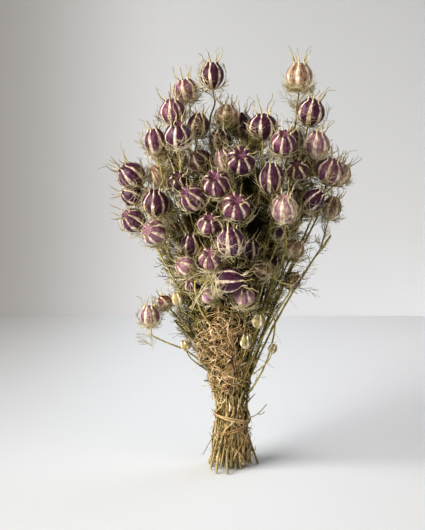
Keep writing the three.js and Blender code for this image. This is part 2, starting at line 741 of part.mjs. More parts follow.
const tidyName = (count) => `pod_${String(count).padStart(2, '0')}`;
let count = 0;
for (const pod of pods) {
  if (pod.paired) continue;
  count += 1;
  const partner = pods[pod.number + 1];
  const mesh = new THREE.Mesh(podShape(pod), material(TONES[pod.tone], 0.6));
  mesh.name = tidyName(count);
  if (partner && partner.paired) {
    const both = [pod, partner].map((one) => solidOf(podShape(one).applyMatrix4(placeOf(one))));
    mesh.geometry = geometryOf(both[0].add(both[1]).simplify(0.01));
  } else {
    mesh.applyMatrix4(placeOf(pod));
  }
  bunch.add(mesh);
}

const stems = new THREE.Mesh(geometryOf(stemsSolid(pods)), material('#8f8748', 0.8));
stems.name = 'stems';
bunch.add(stems);

const tie = new THREE.Mesh(geometryOf(tieSolid()), material('#cdb383', 0.7));
tie.name = 'tie';
bunch.add(tie);

export default bunch;
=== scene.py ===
"""A dried bunch of nigella, tied with raffia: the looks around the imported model, in Blender 4.5.

Metres, +Z up, and -Y faces the viewer. Rows of sizes and places are in millimetres and are
turned to metres where a mesh is made. Growing things follow rules with seeded draws.
"""
import math
import random
from functools import partial

import bpy
import numpy as np
from mathutils import Matrix, Vector


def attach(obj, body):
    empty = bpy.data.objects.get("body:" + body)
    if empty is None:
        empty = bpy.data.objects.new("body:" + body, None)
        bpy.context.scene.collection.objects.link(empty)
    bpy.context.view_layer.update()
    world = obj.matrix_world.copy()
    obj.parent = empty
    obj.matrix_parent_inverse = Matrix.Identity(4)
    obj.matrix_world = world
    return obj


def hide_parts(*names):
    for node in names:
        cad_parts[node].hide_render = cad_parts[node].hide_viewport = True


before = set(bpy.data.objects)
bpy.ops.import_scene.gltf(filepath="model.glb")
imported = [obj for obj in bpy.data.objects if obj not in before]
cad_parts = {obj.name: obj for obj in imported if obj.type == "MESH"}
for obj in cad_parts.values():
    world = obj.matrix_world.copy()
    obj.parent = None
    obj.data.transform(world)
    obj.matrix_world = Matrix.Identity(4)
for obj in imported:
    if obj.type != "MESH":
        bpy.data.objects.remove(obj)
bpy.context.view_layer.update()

MM = 0.001
UP = Vector((0, 0, 1))

# The bunch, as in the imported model
BUNCH_RADIUS = 15.4  # centre line of the outermost stems where they are tied
FOOT_FLARE = 1.5  # how much wider the cut ends stand than the tied part
FOOT_SHIFT = -2.5  # the cut ends stand this much to the front
FLARE_TOP = 42  # height where the flare ends
STEM_STEPS = 4
STEM_ROOT = 70  # height where the stems begin to spread
NECK = 5
HOOKED_NECK = 2
SEAT_GAP = 0.5
PASSING_ROOM = 4
PODS_APART = 1.2
PAIR_SINK = 4.5
CROWN_SHARE = 0.45  # radius of the rim where the horns stand, against the pod's
CROWN_HEIGHT = 0.96
HORN_SHARE = 0.62  # length of a horn against the pod's width

# One row for a pod: across, deep and up give its centre, then its width and height, how far its
# axis leans and the heading it leans to, in degrees, and its tone. A row with + touches the one above.
POD_ROWS = [
    (-20, -8, 397, 23, 26, 3, 180, "plum"),
    (-46, 2, 382, 25, 24, 12, 190, "blush"),
    (-59, -14, 362, 25, 25, 15, 250, "mauve"),
    (-53, -42, 340, 27, 27, 28, 265, "plum"),
    (-76, -20, 333, 21, 26, 8, 170, "mauve"),
    (-34, -8, 348, 22, 24, 10, 300, "brown"),
    (-6, 6, 356, 24, 25, 4, 0, "straw"),
    (-12, -10, 334, 22, 23, 5, 90, "brown"),
    (-32, -15, 313, 25, 23, 35, 200, "brown"),
    (-98, -20, 300, 28, 27, 45, 195, "plum"),
    ("+", -99, -14, 278, 22, 22, 65, 188, "plum"),
    (-73, -18, 299, 20, 24, 40, 220, "straw"),
    (-8, -34, 315, 20, 23, 20, 200, "blush"),
    (7, -62, 318, 27, 25, 62, 268, "plum"),
    (66, 0, 396, 26, 28, 2, 0, "straw"),
    (77, -12, 361, 27, 27, 15, 320, "plum"),
    (29, -28, 348, 28, 25, 10, 270, "plum"),
    (48, -48, 333, 24, 26, 40, 272, "mauve"),
    (82, -22, 329, 26, 28, 12, 290, "blush"),
    (62, 6, 334, 18, 20, 6, 0, "brown"),
    (95, -24, 304, 27, 26, 18, 320, "mauve"),
    ("+", 106, -4, 300, 24, 24, 30, 10, "straw"),
    (-75, -40, 274, 25, 27, 15, 265, "plum"),
    (-98, -18, 256, 24, 25, 55, 215, "plum"),
    (-76, -60, 249, 24, 23, 72, 234, "blush"),
    (-53, -44, 295, 22, 22, 50, 265, "brown"),
    (-37, -66, 283, 25, 26, 54, 226, "plum"),
    (-18, -70, 296, 26, 25, 57, 260, "mauve"),
    (2, -78, 275, 27, 27, 56, 270, "mauve"),
    (-24, -64, 257, 21, 21, 48, 275, "mauve"),
    (-3, -80, 242, 28, 27, 10, 240, "plum"),
    (-41, -50, 234, 20, 23, 12, 270, "plum"),
    (-22, -72, 225, 22, 22, 55, 262, "blush"),
    (-46, -60, 217, 20, 18, 60, 200, "blush"),
    (-57, -20, 244, 17, 18, 20, 180, "brown"),
    (36, -58, 300, 25, 30, 3, 270, "plum"),
    (63, -36, 306, 22, 22, 50, 255, "brown"),
    (48, -72, 272, 26, 29, 30, 262, "blush"),
    (77, -38, 277, 21, 25, 45, 345, "plum"),
    (99, -6, 266, 20, 23, 15, 330, "straw"),
    (47, -38, 245, 16, 17, 20, 0, "plum"),
    (61, -30, 227, 19, 20, 30, 20, "straw"),
    (18, -40, 229, 17, 21, 10, 270, "plum"),
    (42, -22, 212, 16, 17, 15, 300, "plum"),
    (28, -50, 209, 14, 18, 60, 195, "straw"),
    (-5, -72, 204, 26, 30, 86, 350, "plum"),
    (11, -58, 185, 20, 19, 22, 265, "blush"),
    (-23, -60, 187, 16, 15, 50, 200, "blush"),
    (-40, -46, 196, 17, 18, 50, 250, "plum"),
    (-82, -28, 160, 19, 22, 4, 200, "blush"),
    (-68, -16, 172, 15, 15, 40, 180, "brown"),
    (59, -20, 195, 17, 18, 55, 350, "mauve"),
    (-74, 34, 322, 26, 25, 30, 130, "mauve"),
    ("+", -56, 50, 310, 24, 25, 40, 110, "plum"),
    (8, 30, 348, 25, 25, 10, 95, "plum"),
    ("+", 22, 44, 332, 26, 24, 30, 70, "blush"),
    (70, 36, 322, 25, 26, 18, 60, "plum"),
    ("+", 88, 26, 304, 24, 25, 45, 30, "mauve"),
    (-88, 26, 272, 24, 25, 45, 160, "blush"),
    ("+", -72, 44, 262, 25, 24, 55, 130, "plum"),
    (-22, 70, 292, 27, 26, 45, 100, "plum"),
    ("+", 2, 74, 280, 25, 25, 55, 85, "mauve"),
    (66, 10, 273, 20, 22, 12, 20, "straw"),
    ("+", 80, 26, 264, 23, 24, 50, 40, "plum"),
    (-40, 62, 240, 24, 25, 35, 120, "mauve"),
    ("+", -20, 70, 230, 22, 23, 60, 100, "straw"),
    (28, 70, 246, 25, 26, 40, 75, "plum"),
    ("+", 48, 58, 236, 22, 23, 50, 55, "blush"),
]

# Bends of the stems that stray from the bunch or pass behind a pod, by the number of their pod
STRAY_BENDS = {
    30: [(1, -24, 140), (0, -47, 196), (0, -57, 218)],
    49: [(-30, -16, 112), (-60, -24, 130)],
    50: [(-26, -12, 118), (-58, -16, 152)],
    39: [(52, -8, 168), (97, -7, 236)],
    51: [(24, -12, 88), (44, -16, 142)],
}
HOOKED = (30, 45, 49)  # pods whose stems bend right under them
NESTED = (14, 27, 45, 46)  # pods that lie in a thick nest of bracts
OWN_SKIN = {46: "rosy", 47: "rosy", 50: "russet"}  # pods whose skin isn't that of their tone

# Small unripe pods that grow from the leafy part: across, deep, up, width
BUD_ROWS = [
    (25, -50, 160, 14),
    (13, -44, 138, 13),
    (40, -24, 126, 9),
    (-47, -26, 130, 10),
    (-54, -30, 178, 13),
    (-26, 40, 165, 11),
    (30, 34, 150, 11),
]

# Stems and twigs that stray at the foot: radius at the root and the tip, how pale, then the way
STRAY_TWIGS = [
    (1.2, 0.9, 0.05, (27, -2, 0.6), (19, -2, 24), (12, -2, 52), (8, 0, 90)),
    (0.7, 0.4, 0.05, (12, -13, 46), (17, -15, 52), (26, -16, 57), (35, -16, 67)),
    (0.4, 0.3, 0.05, (26, -16, 57), (30, -17, 57), (33, -17, 60)),
    (0.6, 0.3, 0.05, (-15, -15, 38), (-22, -17, 29), (-30, -17, 14)),
    (0.6, 0.3, 0.05, (14, -8, 74), (21, -10, 82), (25, -11, 94)),
    (1.2, 1.0, 0.6, (-16, -36, 1.0), (-14, -23, 17), (-9, -13.5, 38), (-6, -11, 62)),
    (1.3, 1.1, 0.3, (-5, -38, 1.0), (-5, -23, 17), (-1, -14, 38), (-2, -12, 62)),
    (0.9, 0.8, 0.7, (-12, -31, 4), (-9, -22, 18), (-5, -13.5, 38), (-5, -11, 60)),
    (0.9, 0.7, 0.5, (-22, -24, 1), (-18, -20, 18), (-12, -10, 42), (-9, -9, 60)),
]

# Rounds of the raffia: height, slant in degrees and the heading it is highest at, in radians
TIE_ROUNDS = [(50, 13, 3.3), (40, 16, 0.4)]
ROUND_STEPS = 40

# Half width of the leafy bunch against height: radius, height
LEAFY_OUTLINE = [
    (17, 60), (18, 80), (21, 99), (29, 113), (40, 134), (48, 157), (60, 185), (78, 230), (92, 270),
]
LEAFY_LEAN = [(0, 60), (-3, 99), (-8, 132), (-5, 160), (-3, 185), (0, 230)]  # its middle, across

# The middle, dark as painted shade, from its foot up: radius, height, and its depth against its width
MIDDLE_ROWS = [
    (2, 7, 1), (14, 8, 1), (11, 30, 1), (10, 52, 1), (13, 70, 1), (15, 90, 1), (19, 115, 1), (26, 142, 1),
    (31, 172, 0.95), (36, 200, 0.8), (41, 225, 0.6), (46, 250, 0.5), (46, 275, 0.45), (38, 296, 0.45),
    (22, 310, 0.5), (2, 316, 1),
]
MIDDLE_SIDES = 44

# Clumps of dry curled leaves in front of the neck: across, up
DRY_CLUMPS = [
    (-8, 164), (-19, 150), (-15, 136), (-3, 136), (7, 148), (-12, 112), (0, 120), (-27, 122), (-7, 97),
    (-12, 92), (3, 100),
]

# The camera, worked out from the photograph's perspective
CAMERA_PLACE = Vector((-0.020, -1.250, 0.400))
CAMERA_PITCH = 8.74  # degrees down
PHOTO_SIZE = (425, 530)
FOCAL_PIXELS = 1250
SENSOR = 36.0


class Draws(random.Random):
    """A seeded random source."""

    def either(self, size):
        """A draw up to the size to either side."""
        return self.uniform(-size, size)


def linked(name, data):
    """A new object in the scene."""
    thing = bpy.data.objects.new(name, data)
    bpy.context.scene.collection.objects.link(thing)
    return thing


def camera():
    data = bpy.data.cameras.new("photo_view")
    data.sensor_width = SENSOR
    data.lens = FOCAL_PIXELS * SENSOR / max(PHOTO_SIZE)
    seat = linked("photo_view", data)
    seat.location = CAMERA_PLACE
    seat.rotation_euler = (math.radians(90 - CAMERA_PITCH), 0, 0)
    bpy.context.scene.camera = seat


def linear(hex_colour):
    """An sRGB hex colour as the linear red, green, blue and alpha that sockets take."""
    channels = [int(hex_colour[k:k + 2], 16) / 255 for k in (1, 3, 5)]
    return [c / 12.92 if c < 0.04045 else ((c + 0.055) / 1.055) ** 2.4 for c in channels] + [1.0]


def add_node(tree, kind, inputs=(), stops=None, **settings):
    """Adds a node with its settings, links and values. A kind in capitals is a Math node's operation,
    a node among the inputs means its first output, and stops are a ramp's colours or a curve's points."""
    if kind.isupper():
        kind, settings = "ShaderNodeMath", {"operation": kind}
    node = tree.nodes.new(kind)
    for option, value in settings.items():
        setattr(node, option, value)
    for key, value in (inputs.items() if isinstance(inputs, dict) else enumerate(inputs)):
        if isinstance(value, bpy.types.Node):
            value = next(out for out in value.outputs if out.enabled)
        if isinstance(value, bpy.types.NodeSocket):
            tree.links.new(value, node.inputs[key])
        elif value is not None:
            node.inputs[key].default_value = value
    if stops and hasattr(node, "color_ramp"):
        slots = node.color_ramp.elements
        while len(slots) < len(stops):
            slots.new(0.5)
        for slot, (place, colour) in zip(slots, stops):
            slot.position = place
            slot.color = linear(colour)
    elif stops:
        curve = node.mapping.curves[0]
        while len(curve.points) < len(stops):
            curve.points.new(0.5, 0.5)
        for point, place in zip(curve.points, stops):
            point.location = place
        node.mapping.update()
    return node


RANGE = "ShaderNodeMapRange"
MIX = "ShaderNodeMix"
NOISE = "ShaderNodeTexNoise"
READ = "GeometryNodeInputNamedAttribute"
STORE = "GeometryNodeStoreNamedAttribute"
FACTOR, UNDER, OVER = 0, 6, 7  # a Mix node's inputs when it mixes colours
SMOOTH = {"interpolation_type": "SMOOTHSTEP"}


def new_tree(name, sockets):
    """A geometry tree with named inputs, given as name, socket kind and value. Returns it, a short
    way to add its nodes, and its inputs."""
    tree = bpy.data.node_groups.new(name, "GeometryNodeTree")
    tree.interface.new_socket("Geometry", in_out="INPUT", socket_type="NodeSocketGeometry")
    tree.interface.new_socket("Geometry", in_out="OUTPUT", socket_type="NodeSocketGeometry")
    for label, kind, value in sockets:
        socket = tree.interface.new_socket(label, in_out="INPUT", socket_type="NodeSocket" + kind)
        if value is not None:
            socket.default_value = value
    return tree, partial(add_node, tree), tree.nodes.new("NodeGroupInput").outputs


def sweep_nodes(add, lines, sides, flatness, smoothing):
    """The nodes that turn lines with the attributes thick and twist to closed tubes or ribbons."""
    thick = add(READ, ["thick"], data_type="FLOAT")
    twist = add(READ, ["twist"], data_type="FLOAT")
    curve = add("GeometryNodeMeshToCurve", [lines])
    curve = add("GeometryNodeCurveSplineType", [curve], spline_type="CATMULL_ROM")
    curve = add("GeometryNodeSetSplineResolution", {0: curve, "Resolution": smoothing})
    curve = add("GeometryNodeSetCurveTilt", {0: curve, "Tilt": twist})
    ring = add("GeometryNodeCurvePrimitiveCircle", {"Resolution": sides, "Radius": 1.0})
    squeeze = add("ShaderNodeCombineXYZ", [1.0, flatness, 1.0])
    ring = add("GeometryNodeTransform", {0: ring, "Scale": squeeze})
    tube = add("GeometryNodeCurveToMesh", {0: curve, 1: ring, "Scale": thick, "Fill Caps": True})
    return add("GeometryNodeSetShadeSmooth", {0: tube, "Shade Smooth": True})


def sweep_tree():
    """Threads, stems, leaves and raffia: a section swept along every line of a mesh of edges."""
    tree, add, given = new_tree("sweep_along_lines", [
        ("Sides", "Int", 3),
        ("Flatness", "Float", 1.0),
        ("Smoothing", "Int", 2),
        ("Finish", "Material", None),
    ])
    tube = sweep_nodes(add, given["Geometry"], given["Sides"], given["Flatness"], given["Smoothing"])
    solid = add("GeometryNodeRealizeInstances", [tube])
    done = add("GeometryNodeSetMaterial", {0: solid, "Material": given["Finish"]})
    add("NodeGroupOutput", [done])
    return tree


FACETS = 8  # faces from rib to rib
LEVELS = 30  # rows of faces from base to crown


def capsule_tree():
    """A nigella seed case: a globe with raised ribs, panels that swell between them and a dimpled
    crown, and its horns, which come in as lines. It stands on +Z with its middle at the origin."""
    tree, add, given = new_tree("nigella_capsule", [
        ("Ribs", "Int", 7),
        ("Width", "Float", 0.026),
        ("Height", "Float", 0.026),
        ("Rib Height", "Float", 0.0006),
        ("Swell", "Float", 0.06),
        ("Taper", "Float", 0.12),
        ("Dimple", "Float", 0.09),
        ("Crest", "Float", 0.06),
        ("Lot", "Float", 0.5),
        ("Skin", "Material", None),
        ("Horn", "Material", None),
    ])
    ribs = given["Ribs"]
    segments = add("MULTIPLY", [ribs, FACETS])
    globe = add("GeometryNodeMeshUVSphere", {"Segments": segments, "Rings": LEVELS, "Radius": 1.0})
    at = add("ShaderNodeSeparateXYZ", [add("GeometryNodeInputPosition")]).outputs

    # Turn about the axis, with the faces drawn together at the ribs, and the share of a rib
    turn = add("ARCTAN2", [at["Y"], at["X"]])
    phase = add("MULTIPLY", [turn, ribs])
    draw = add("MULTIPLY", [add("SINE", [phase]), 0.55])
    drawn = add("SUBTRACT", [phase, draw])
    turn = add("DIVIDE", [drawn, ribs])
    crest = add("COSINE", [drawn])
    rib = add("MULTIPLY_ADD", [crest, 0.5, 0.5])
    panel = add("SUBTRACT", [1.0, rib])

    # Rise from base to crown, 0 to 1, and how ribs, panels and dimple change with it
    fall = add("MULTIPLY", [at["Z"], -1.0])
    rise = add("DIVIDE", [add("ARCCOSINE", [fall]), math.pi])
    ridge_rise, swell_rise, dimple_rise, crown_rise, taper_rise = [
        add("ShaderNodeFloatCurve", {"Value": rise}, stops=stops) for stops in (
            [(0, 0), (0.1, 0.2), (0.35, 0.5), (0.7, 0.8), (0.82, 1), (0.92, 0.6), (1, 0.2)],
            [(0, 0), (0.15, 0.25), (0.5, 0.75), (0.8, 1), (0.88, 0.8), (0.95, 0.2), (1, 0)],
            [(0, 0), (0.8, 0), (0.86, 0.02), (0.93, 0.6), (1, 1)],
            [(0, 0), (0.76, 0), (0.85, 1), (0.91, 0.2), (1, 0)],
            [(0, 1), (0.15, 0.9), (0.35, 0.4), (0.5, 0.08), (0.65, 0), (1, 0)],
        )]
    ridge = add(RANGE, [crest, 0.72, 1.0, 0.0, 1.0], **SMOOTH)
    ridge = add("MULTIPLY", [ridge, ridge_rise])
    ridge = add("MULTIPLY", [ridge, given["Rib Height"]])

    # Radius: the globe, its swollen panels, slow dents and the ribs on top
    radius = add("MULTIPLY", [given["Width"], 0.5])
    swell = add("MULTIPLY", [panel, swell_rise])
    swell = add("MULTIPLY_ADD", [swell, given["Swell"], 1.0])
    dents = add(NOISE, {"W": given["Lot"], "Scale": 1.6, "Detail": 1.0}, noise_dimensions="4D")
    dents = add(RANGE, [dents, 0.0, 1.0, -0.09, 0.06])
    swell = add("ADD", [swell, dents])
    narrow = add("MULTIPLY", [taper_rise, given["Taper"]])
    swell = add("SUBTRACT", [swell, narrow])
    span = add("MULTIPLY", [radius, swell])
    around = add("MULTIPLY", [rise, math.pi])
    around = add("SINE", [around])
    across = add("MULTIPLY_ADD", [span, around, ridge])

    # Height: the globe, the sunk star of the crown, and panels that crest at its rim
    sunk = add("MULTIPLY", [dimple_rise, given["Dimple"]])
    crowned = add("MULTIPLY", [crown_rise, panel])
    crowned = add("MULTIPLY", [crowned, given["Crest"]])
    level = add("MULTIPLY_ADD", [at["Z"], 0.5, crowned])
    level = add("SUBTRACT", [level, sunk])
    level = add("MULTIPLY", [level, given["Height"]])
    star = add(RANGE, [rise, 0.84, 0.92, 0.0, 1.0])
    level = add("MULTIPLY_ADD", [star, ridge, level])

    east = add("COSINE", [turn])
    north = add("SINE", [turn])
    place = [add("MULTIPLY", [way, across]) for way in (east, north)]
    place = add("ShaderNodeCombineXYZ", [*place, level])
    strip = add("MULTIPLY", [rise, 0.45])
    strip = add("ShaderNodeCombineXYZ", [east, north, strip])

    # What the skin's material reads is stored before the points move
    for label, kind, value in (
        ("rib", "FLOAT", rib),
        ("rise", "FLOAT", rise),
        ("strip", "FLOAT_VECTOR", strip),
        ("lot", "FLOAT", given["Lot"]),
    ):
        globe = add(STORE, {"Geometry": globe, "Name": label, "Value": value}, data_type=kind)
    globe = add("GeometryNodeSetPosition", {0: globe, "Position": place})
    globe = add("GeometryNodeSetShadeSmooth", {0: globe, "Shade Smooth": True})
    globe = add("GeometryNodeSetMaterial", {0: globe, "Material": given["Skin"]})

    horns = sweep_nodes(add, given["Geometry"], 4, 0.8, 2)
    horns = add("GeometryNodeSetMaterial", {0: horns, "Material": given["Horn"]})
    whole = add("GeometryNodeJoinGeometry", [globe])
    tree.links.new(horns.outputs[0], whole.inputs[0])
    solid = add("GeometryNodeRealizeInstances", [whole])
    add("NodeGroupOutput", [solid])
    return tree


def grown(tree, source, inputs):
    """The plain mesh that a tree makes from a source mesh and its named inputs."""
    carrier = linked("carrier", source)
    modifier = carrier.modifiers.new("grow", "NODES")
    modifier.node_group = tree
    sockets = {item.name: item.identifier for item in tree.interface.items_tree if item.in_out == "INPUT"}
    for label, value in inputs.items():
        modifier[sockets[label]] = value
    evaluated = carrier.evaluated_get(bpy.context.evaluated_depsgraph_get())
    mesh = bpy.data.meshes.new_from_object(evaluated)
    bpy.data.objects.remove(carrier)
    bpy.data.meshes.remove(source)
    return mesh


class Lines:
    """Centre lines in millimetres, each with a thickness that tapers from its root to its tip."""

    def __init__(self):
        self.points, self.links = [], []
        self.marks = {"thick": [], "twist": [], "lot": [], "along": []}

    def add(self, points, root, tip, lot=0.5, twist=0.0, curl=0.0):
        first = len(self.points)
        last = len(points) - 1
        for k, point in enumerate(points):
            share = k / last
            self.points.append(point)
            self.marks["thick"].append((root + (tip - root) * share) * MM)
            self.marks["twist"].append(twist + curl * share)
            self.marks["lot"].append(lot)
            self.marks["along"].append(share)
        self.links += [(first + k, first + k + 1) for k in range(last)]

    def mesh(self):
        mesh = bpy.data.meshes.new("lines")
        mesh.from_pydata([Vector(point) * MM for point in self.points], self.links, [])
        for label, values in self.marks.items():
            mesh.attributes.new(label, "FLOAT", "POINT").data.foreach_set("value", values)
        return mesh


def place_piece(name, mesh, slot, *nodes):
    """A finished mesh as a piece of the object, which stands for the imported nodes."""
    mesh.name = name
    piece = linked(name, mesh)
    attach(piece, "root")
    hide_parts(*nodes)


def swept(name, lines, finish, slot, node, sides=3, flatness=1.0, smoothing=2):
    mesh = grown(SWEEP, lines.mesh(), {
        "Sides": sides, "Flatness": flatness, "Smoothing": smoothing, "Finish": finish})
    place_piece(name, mesh, slot, node)


def spoke(turn, reach=1.0, height=0.0):
    """A point at a turn and a distance from the bunch's or a pod's axis."""
    return Vector((math.cos(turn) * reach, math.sin(turn) * reach, height))


def facing(turn):
    """The level ways outward and sideways at a turn."""
    outward = spoke(turn)
    return outward, Vector((-outward.y, outward.x, 0))


# Rules of the bunch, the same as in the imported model

class Pod:
    def __init__(self, number, row):
        self.number = number
        self.paired = row[0] == "+"
        across, deep, up, width, height, lean, heading, self.tone = row[1:] if self.paired else row
        self.centre = Vector((across, deep, up))
        self.radius = width / 2
        self.height = height
        self.reach = max(width, height) / 2
        tilt, turn = math.radians(lean), math.radians(heading)
        self.axis = Vector((math.sin(tilt) * math.cos(turn), math.sin(tilt) * math.sin(turn), math.cos(tilt)))
        self.ribs = 5 if width < 18 else 6 if width < 23 else 7
        self.bent_horns = width >= 26
        self.horns = []

    def base(self, below=0.0):
        return self.centre - self.axis * (self.height / 2 + below)

    def place(self):
        """Takes the pod's own space, with its axis along Z, to its place."""
        return Matrix.Translation(self.centre) @ UP.rotation_difference(self.axis).to_matrix().to_4x4()


def repeatable(seed):
    """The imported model's random source, from 0 to 1."""
    state = seed
    while True:
        state = state * 16807 % 2147483647
        yield state / 2147483647


def settle_pods(pods):
    """Pods that would overlap move apart, mostly in depth, and the two of a pair stay in touch."""
    for _ in range(120):
        for i, one in enumerate(pods):
            for other in pods[i + 1:]:
                linked = other.paired and other.number == one.number + 1
                apart = other.centre - one.centre
                distance = apart.length
                wanted = one.reach + other.reach + (-PAIR_SINK if linked else PODS_APART)
                if linked or distance < wanted:
                    push = apart * ((wanted - distance) / distance / 2)
                    push = Vector((push.x * 0.35, push.y, push.z * 0.35))
                    other.centre = other.centre + push
                    one.centre = one.centre - push


def waist_slots(pods):
    """Slots of the stems in the tied bunch: steep ones in the middle, spread until they fit."""
    def slope(pod):
        return math.hypot(pod.centre.x, pod.centre.y) / pod.centre.z
    order = sorted(pods, key=slope)
    slots = [None] * len(pods)
    for rank, pod in enumerate(order):
        heading = math.atan2(pod.centre.y, pod.centre.x)
        radius = BUNCH_RADIUS * math.sqrt(rank / len(pods))
        slots[pod.number] = Vector((radius * math.cos(heading), radius * math.sin(heading)))
    middle = order[0].number
    slots[middle] = Vector((0, 0))
    pitch = 1.85 * BUNCH_RADIUS / math.sqrt(len(pods))
    for _ in range(200):
        for i in range(len(slots)):
            for j in range(i + 1, len(slots)):
                apart = slots[j] - slots[i]
                distance = max(apart.length, 0.01)
                if distance < pitch:
                    push = apart * ((pitch - distance) / distance / 2)
                    slots[j] = slots[j] + push
                    slots[i] = slots[i] - push
        slots[middle] = Vector((0, 0))
        for slot in slots:
            if slot.length > BUNCH_RADIUS:
                slot.length = BUNCH_RADIUS
    return slots, middle


def on_curve(knots, t):
    """A point on the smooth curve through the knots, at share t of the way."""
    place = t * (len(knots) - 1)
    k = min(int(place), len(knots) - 2)
    s = place - k
    p, q, r, u = knots[max(k - 1, 0)], knots[k], knots[k + 1], knots[min(k + 2, len(knots) - 1)]
    return q + (r - p + (2 * p - 5 * q + 4 * r - u + (3 * q - p - 3 * r + u) * s) * s) * (s / 2)


def bend_clear(points, pod, centres, rooms):
    """Moves the points of a stem, but not its root and neck, until it passes all pods with room."""
    last = len(points) - 1
    places = np.array(points)
    for _ in range(60):
        for k in range(1, last + 1):
            for share in (0, 0.25, 0.5, 0.75):
                point = places[k] + (places[k - 1] - places[k]) * share
                away = point - centres
                distance = np.linalg.norm(away, axis=1)
                close = distance < rooms
                if k >= last - 1:
                    close[pod.number] = False
                if not close.any():
                    continue
                push = away[close] / distance[close, None] * ((rooms - distance)[close] * 0.6)[:, None]
                push = push.sum(axis=0) * (1, 1, 0.3)
                if k < last:
                    places[k] += push * (1 - share)
                if k > 1:
                    places[k - 1] += push * share
    return [Vector(place) for place in places]


def route_stem(pod, slot, centres, rooms):
    """The way of a stem from the tied bunch to its pod, clear of the pods that it passes."""
    start = Vector((slot.x * 0.72, slot.y * 0.72, STEM_ROOT))
    hooked = pod.number in HOOKED
    neck = HOOKED_NECK if hooked else NECK
    approach = pod.base(4 * neck if hooked else min(36, pod.centre.z / 8))
    bends = [Vector(bend) for bend in STRAY_BENDS.get(pod.number, [])]
    if not bends:
        step = approach - start
        bends = [start + Vector((step.x * 0.42, step.y * 0.42, step.z * 0.5))]
    knots = [start, *bends, approach]
    points = [on_curve(knots, step / STEM_STEPS) for step in range(STEM_STEPS + 1)]
    points += [pod.base(3 * neck), pod.base(neck)]
    return bend_clear(points, pod, centres, rooms) + [pod.base(SEAT_GAP)]


def grow_horns(pods):
    """The horns on the rim of a pod, shortened where they would reach another pod or horn."""
    draw = repeatable(41)
    taken = []
    for pod in pods:
        place = pod.place()
        length = 2 * pod.radius * HORN_SHARE
        near = [other for other in pods if other is not pod
                and (other.centre - pod.centre).length < other.reach + pod.reach + length]
        for rib in range(pod.ribs):
            turn = 2 * math.pi * rib / pod.ribs
            out, side = facing(turn)
            side = side * ((next(draw) - 0.5) * 0.5)
            spread = 0.3 + 0.35 * next(draw)
            full = length * (0.75 + 0.45 * next(draw))
            root = out * (pod.radius * CROWN_SHARE) + UP * ((CROWN_HEIGHT - 0.5) * pod.height)
            for share in (1, 0.75, 0.5, 0.3):
                reach = full * share
                tip = root + out * (spread * reach) + side * reach
                tip.z = root.z + 0.95 * reach
                middle = root.lerp(tip, 0.5)
                if pod.bent_horns:
                    middle = middle - out * (0.1 * reach)
                line = [place @ (root.lerp(middle, step / 4) if step <= 4 else middle.lerp(tip, step / 4 - 1))
                        for step in range(1, 9)]
                blocked = any((point - other.centre).length < other.reach + 1.2
                              for point in line for other in near)
                blocked = blocked or any((point - spot).length < 2.6
                                         for number, spot in taken if number != pod.number for point in line)
                if not blocked:
                    pod.horns.append((root, middle, tip, out))
                    taken += [(pod.number, point) for point in line]
                    break


def radius_at(rows, height):
    """The radius at a height, between the rows of an outline."""
    levels = [level for _, level in rows]
    return float(np.interp(height, levels, [radius for radius, _ in rows]))


def leafy_point(turn, share, height):
    """A point of the leafy bunch: its turn, how far out it lies and its height."""
    radius = radius_at(LEAFY_OUTLINE, height) * share
    return Vector((math.cos(turn) * radius + radius_at(LEAFY_LEAN, height), math.sin(turn) * radius, height))


# Finishes

def new_finish(name, roughness, specular):
    """A material with its shader's own sockets set. Returns it, and a short way to add its nodes."""
    finish = bpy.data.materials.new(name)
    finish.use_nodes = True
    shader = finish.node_tree.nodes["Principled BSDF"]
    shader.inputs["Roughness"].default_value = roughness
    shader.inputs["Specular IOR Level"].default_value = specular
    return finish, partial(add_node, finish.node_tree)


def finished(finish, colour, height=None, strength=0.0, depth=0.0):
    """The material with its colour linked, and the height of its wrinkles or grain, in metres deep."""
    tree = finish.node_tree
    shader = tree.nodes["Principled BSDF"]
    tree.links.new(colour, shader.inputs["Base Color"])
    if height:
        relief = add_node(tree, "ShaderNodeBump", {"Strength": strength, "Distance": depth, "Height": height})
        tree.links.new(relief.outputs[0], shader.inputs["Normal"])
    return finish


def ramp(colours, first, span):
    """Colours as the stops of a ramp, evenly spread over the span from the first."""
    return [(first + span * k / (len(colours) - 1), colour) for k, colour in enumerate(colours)]


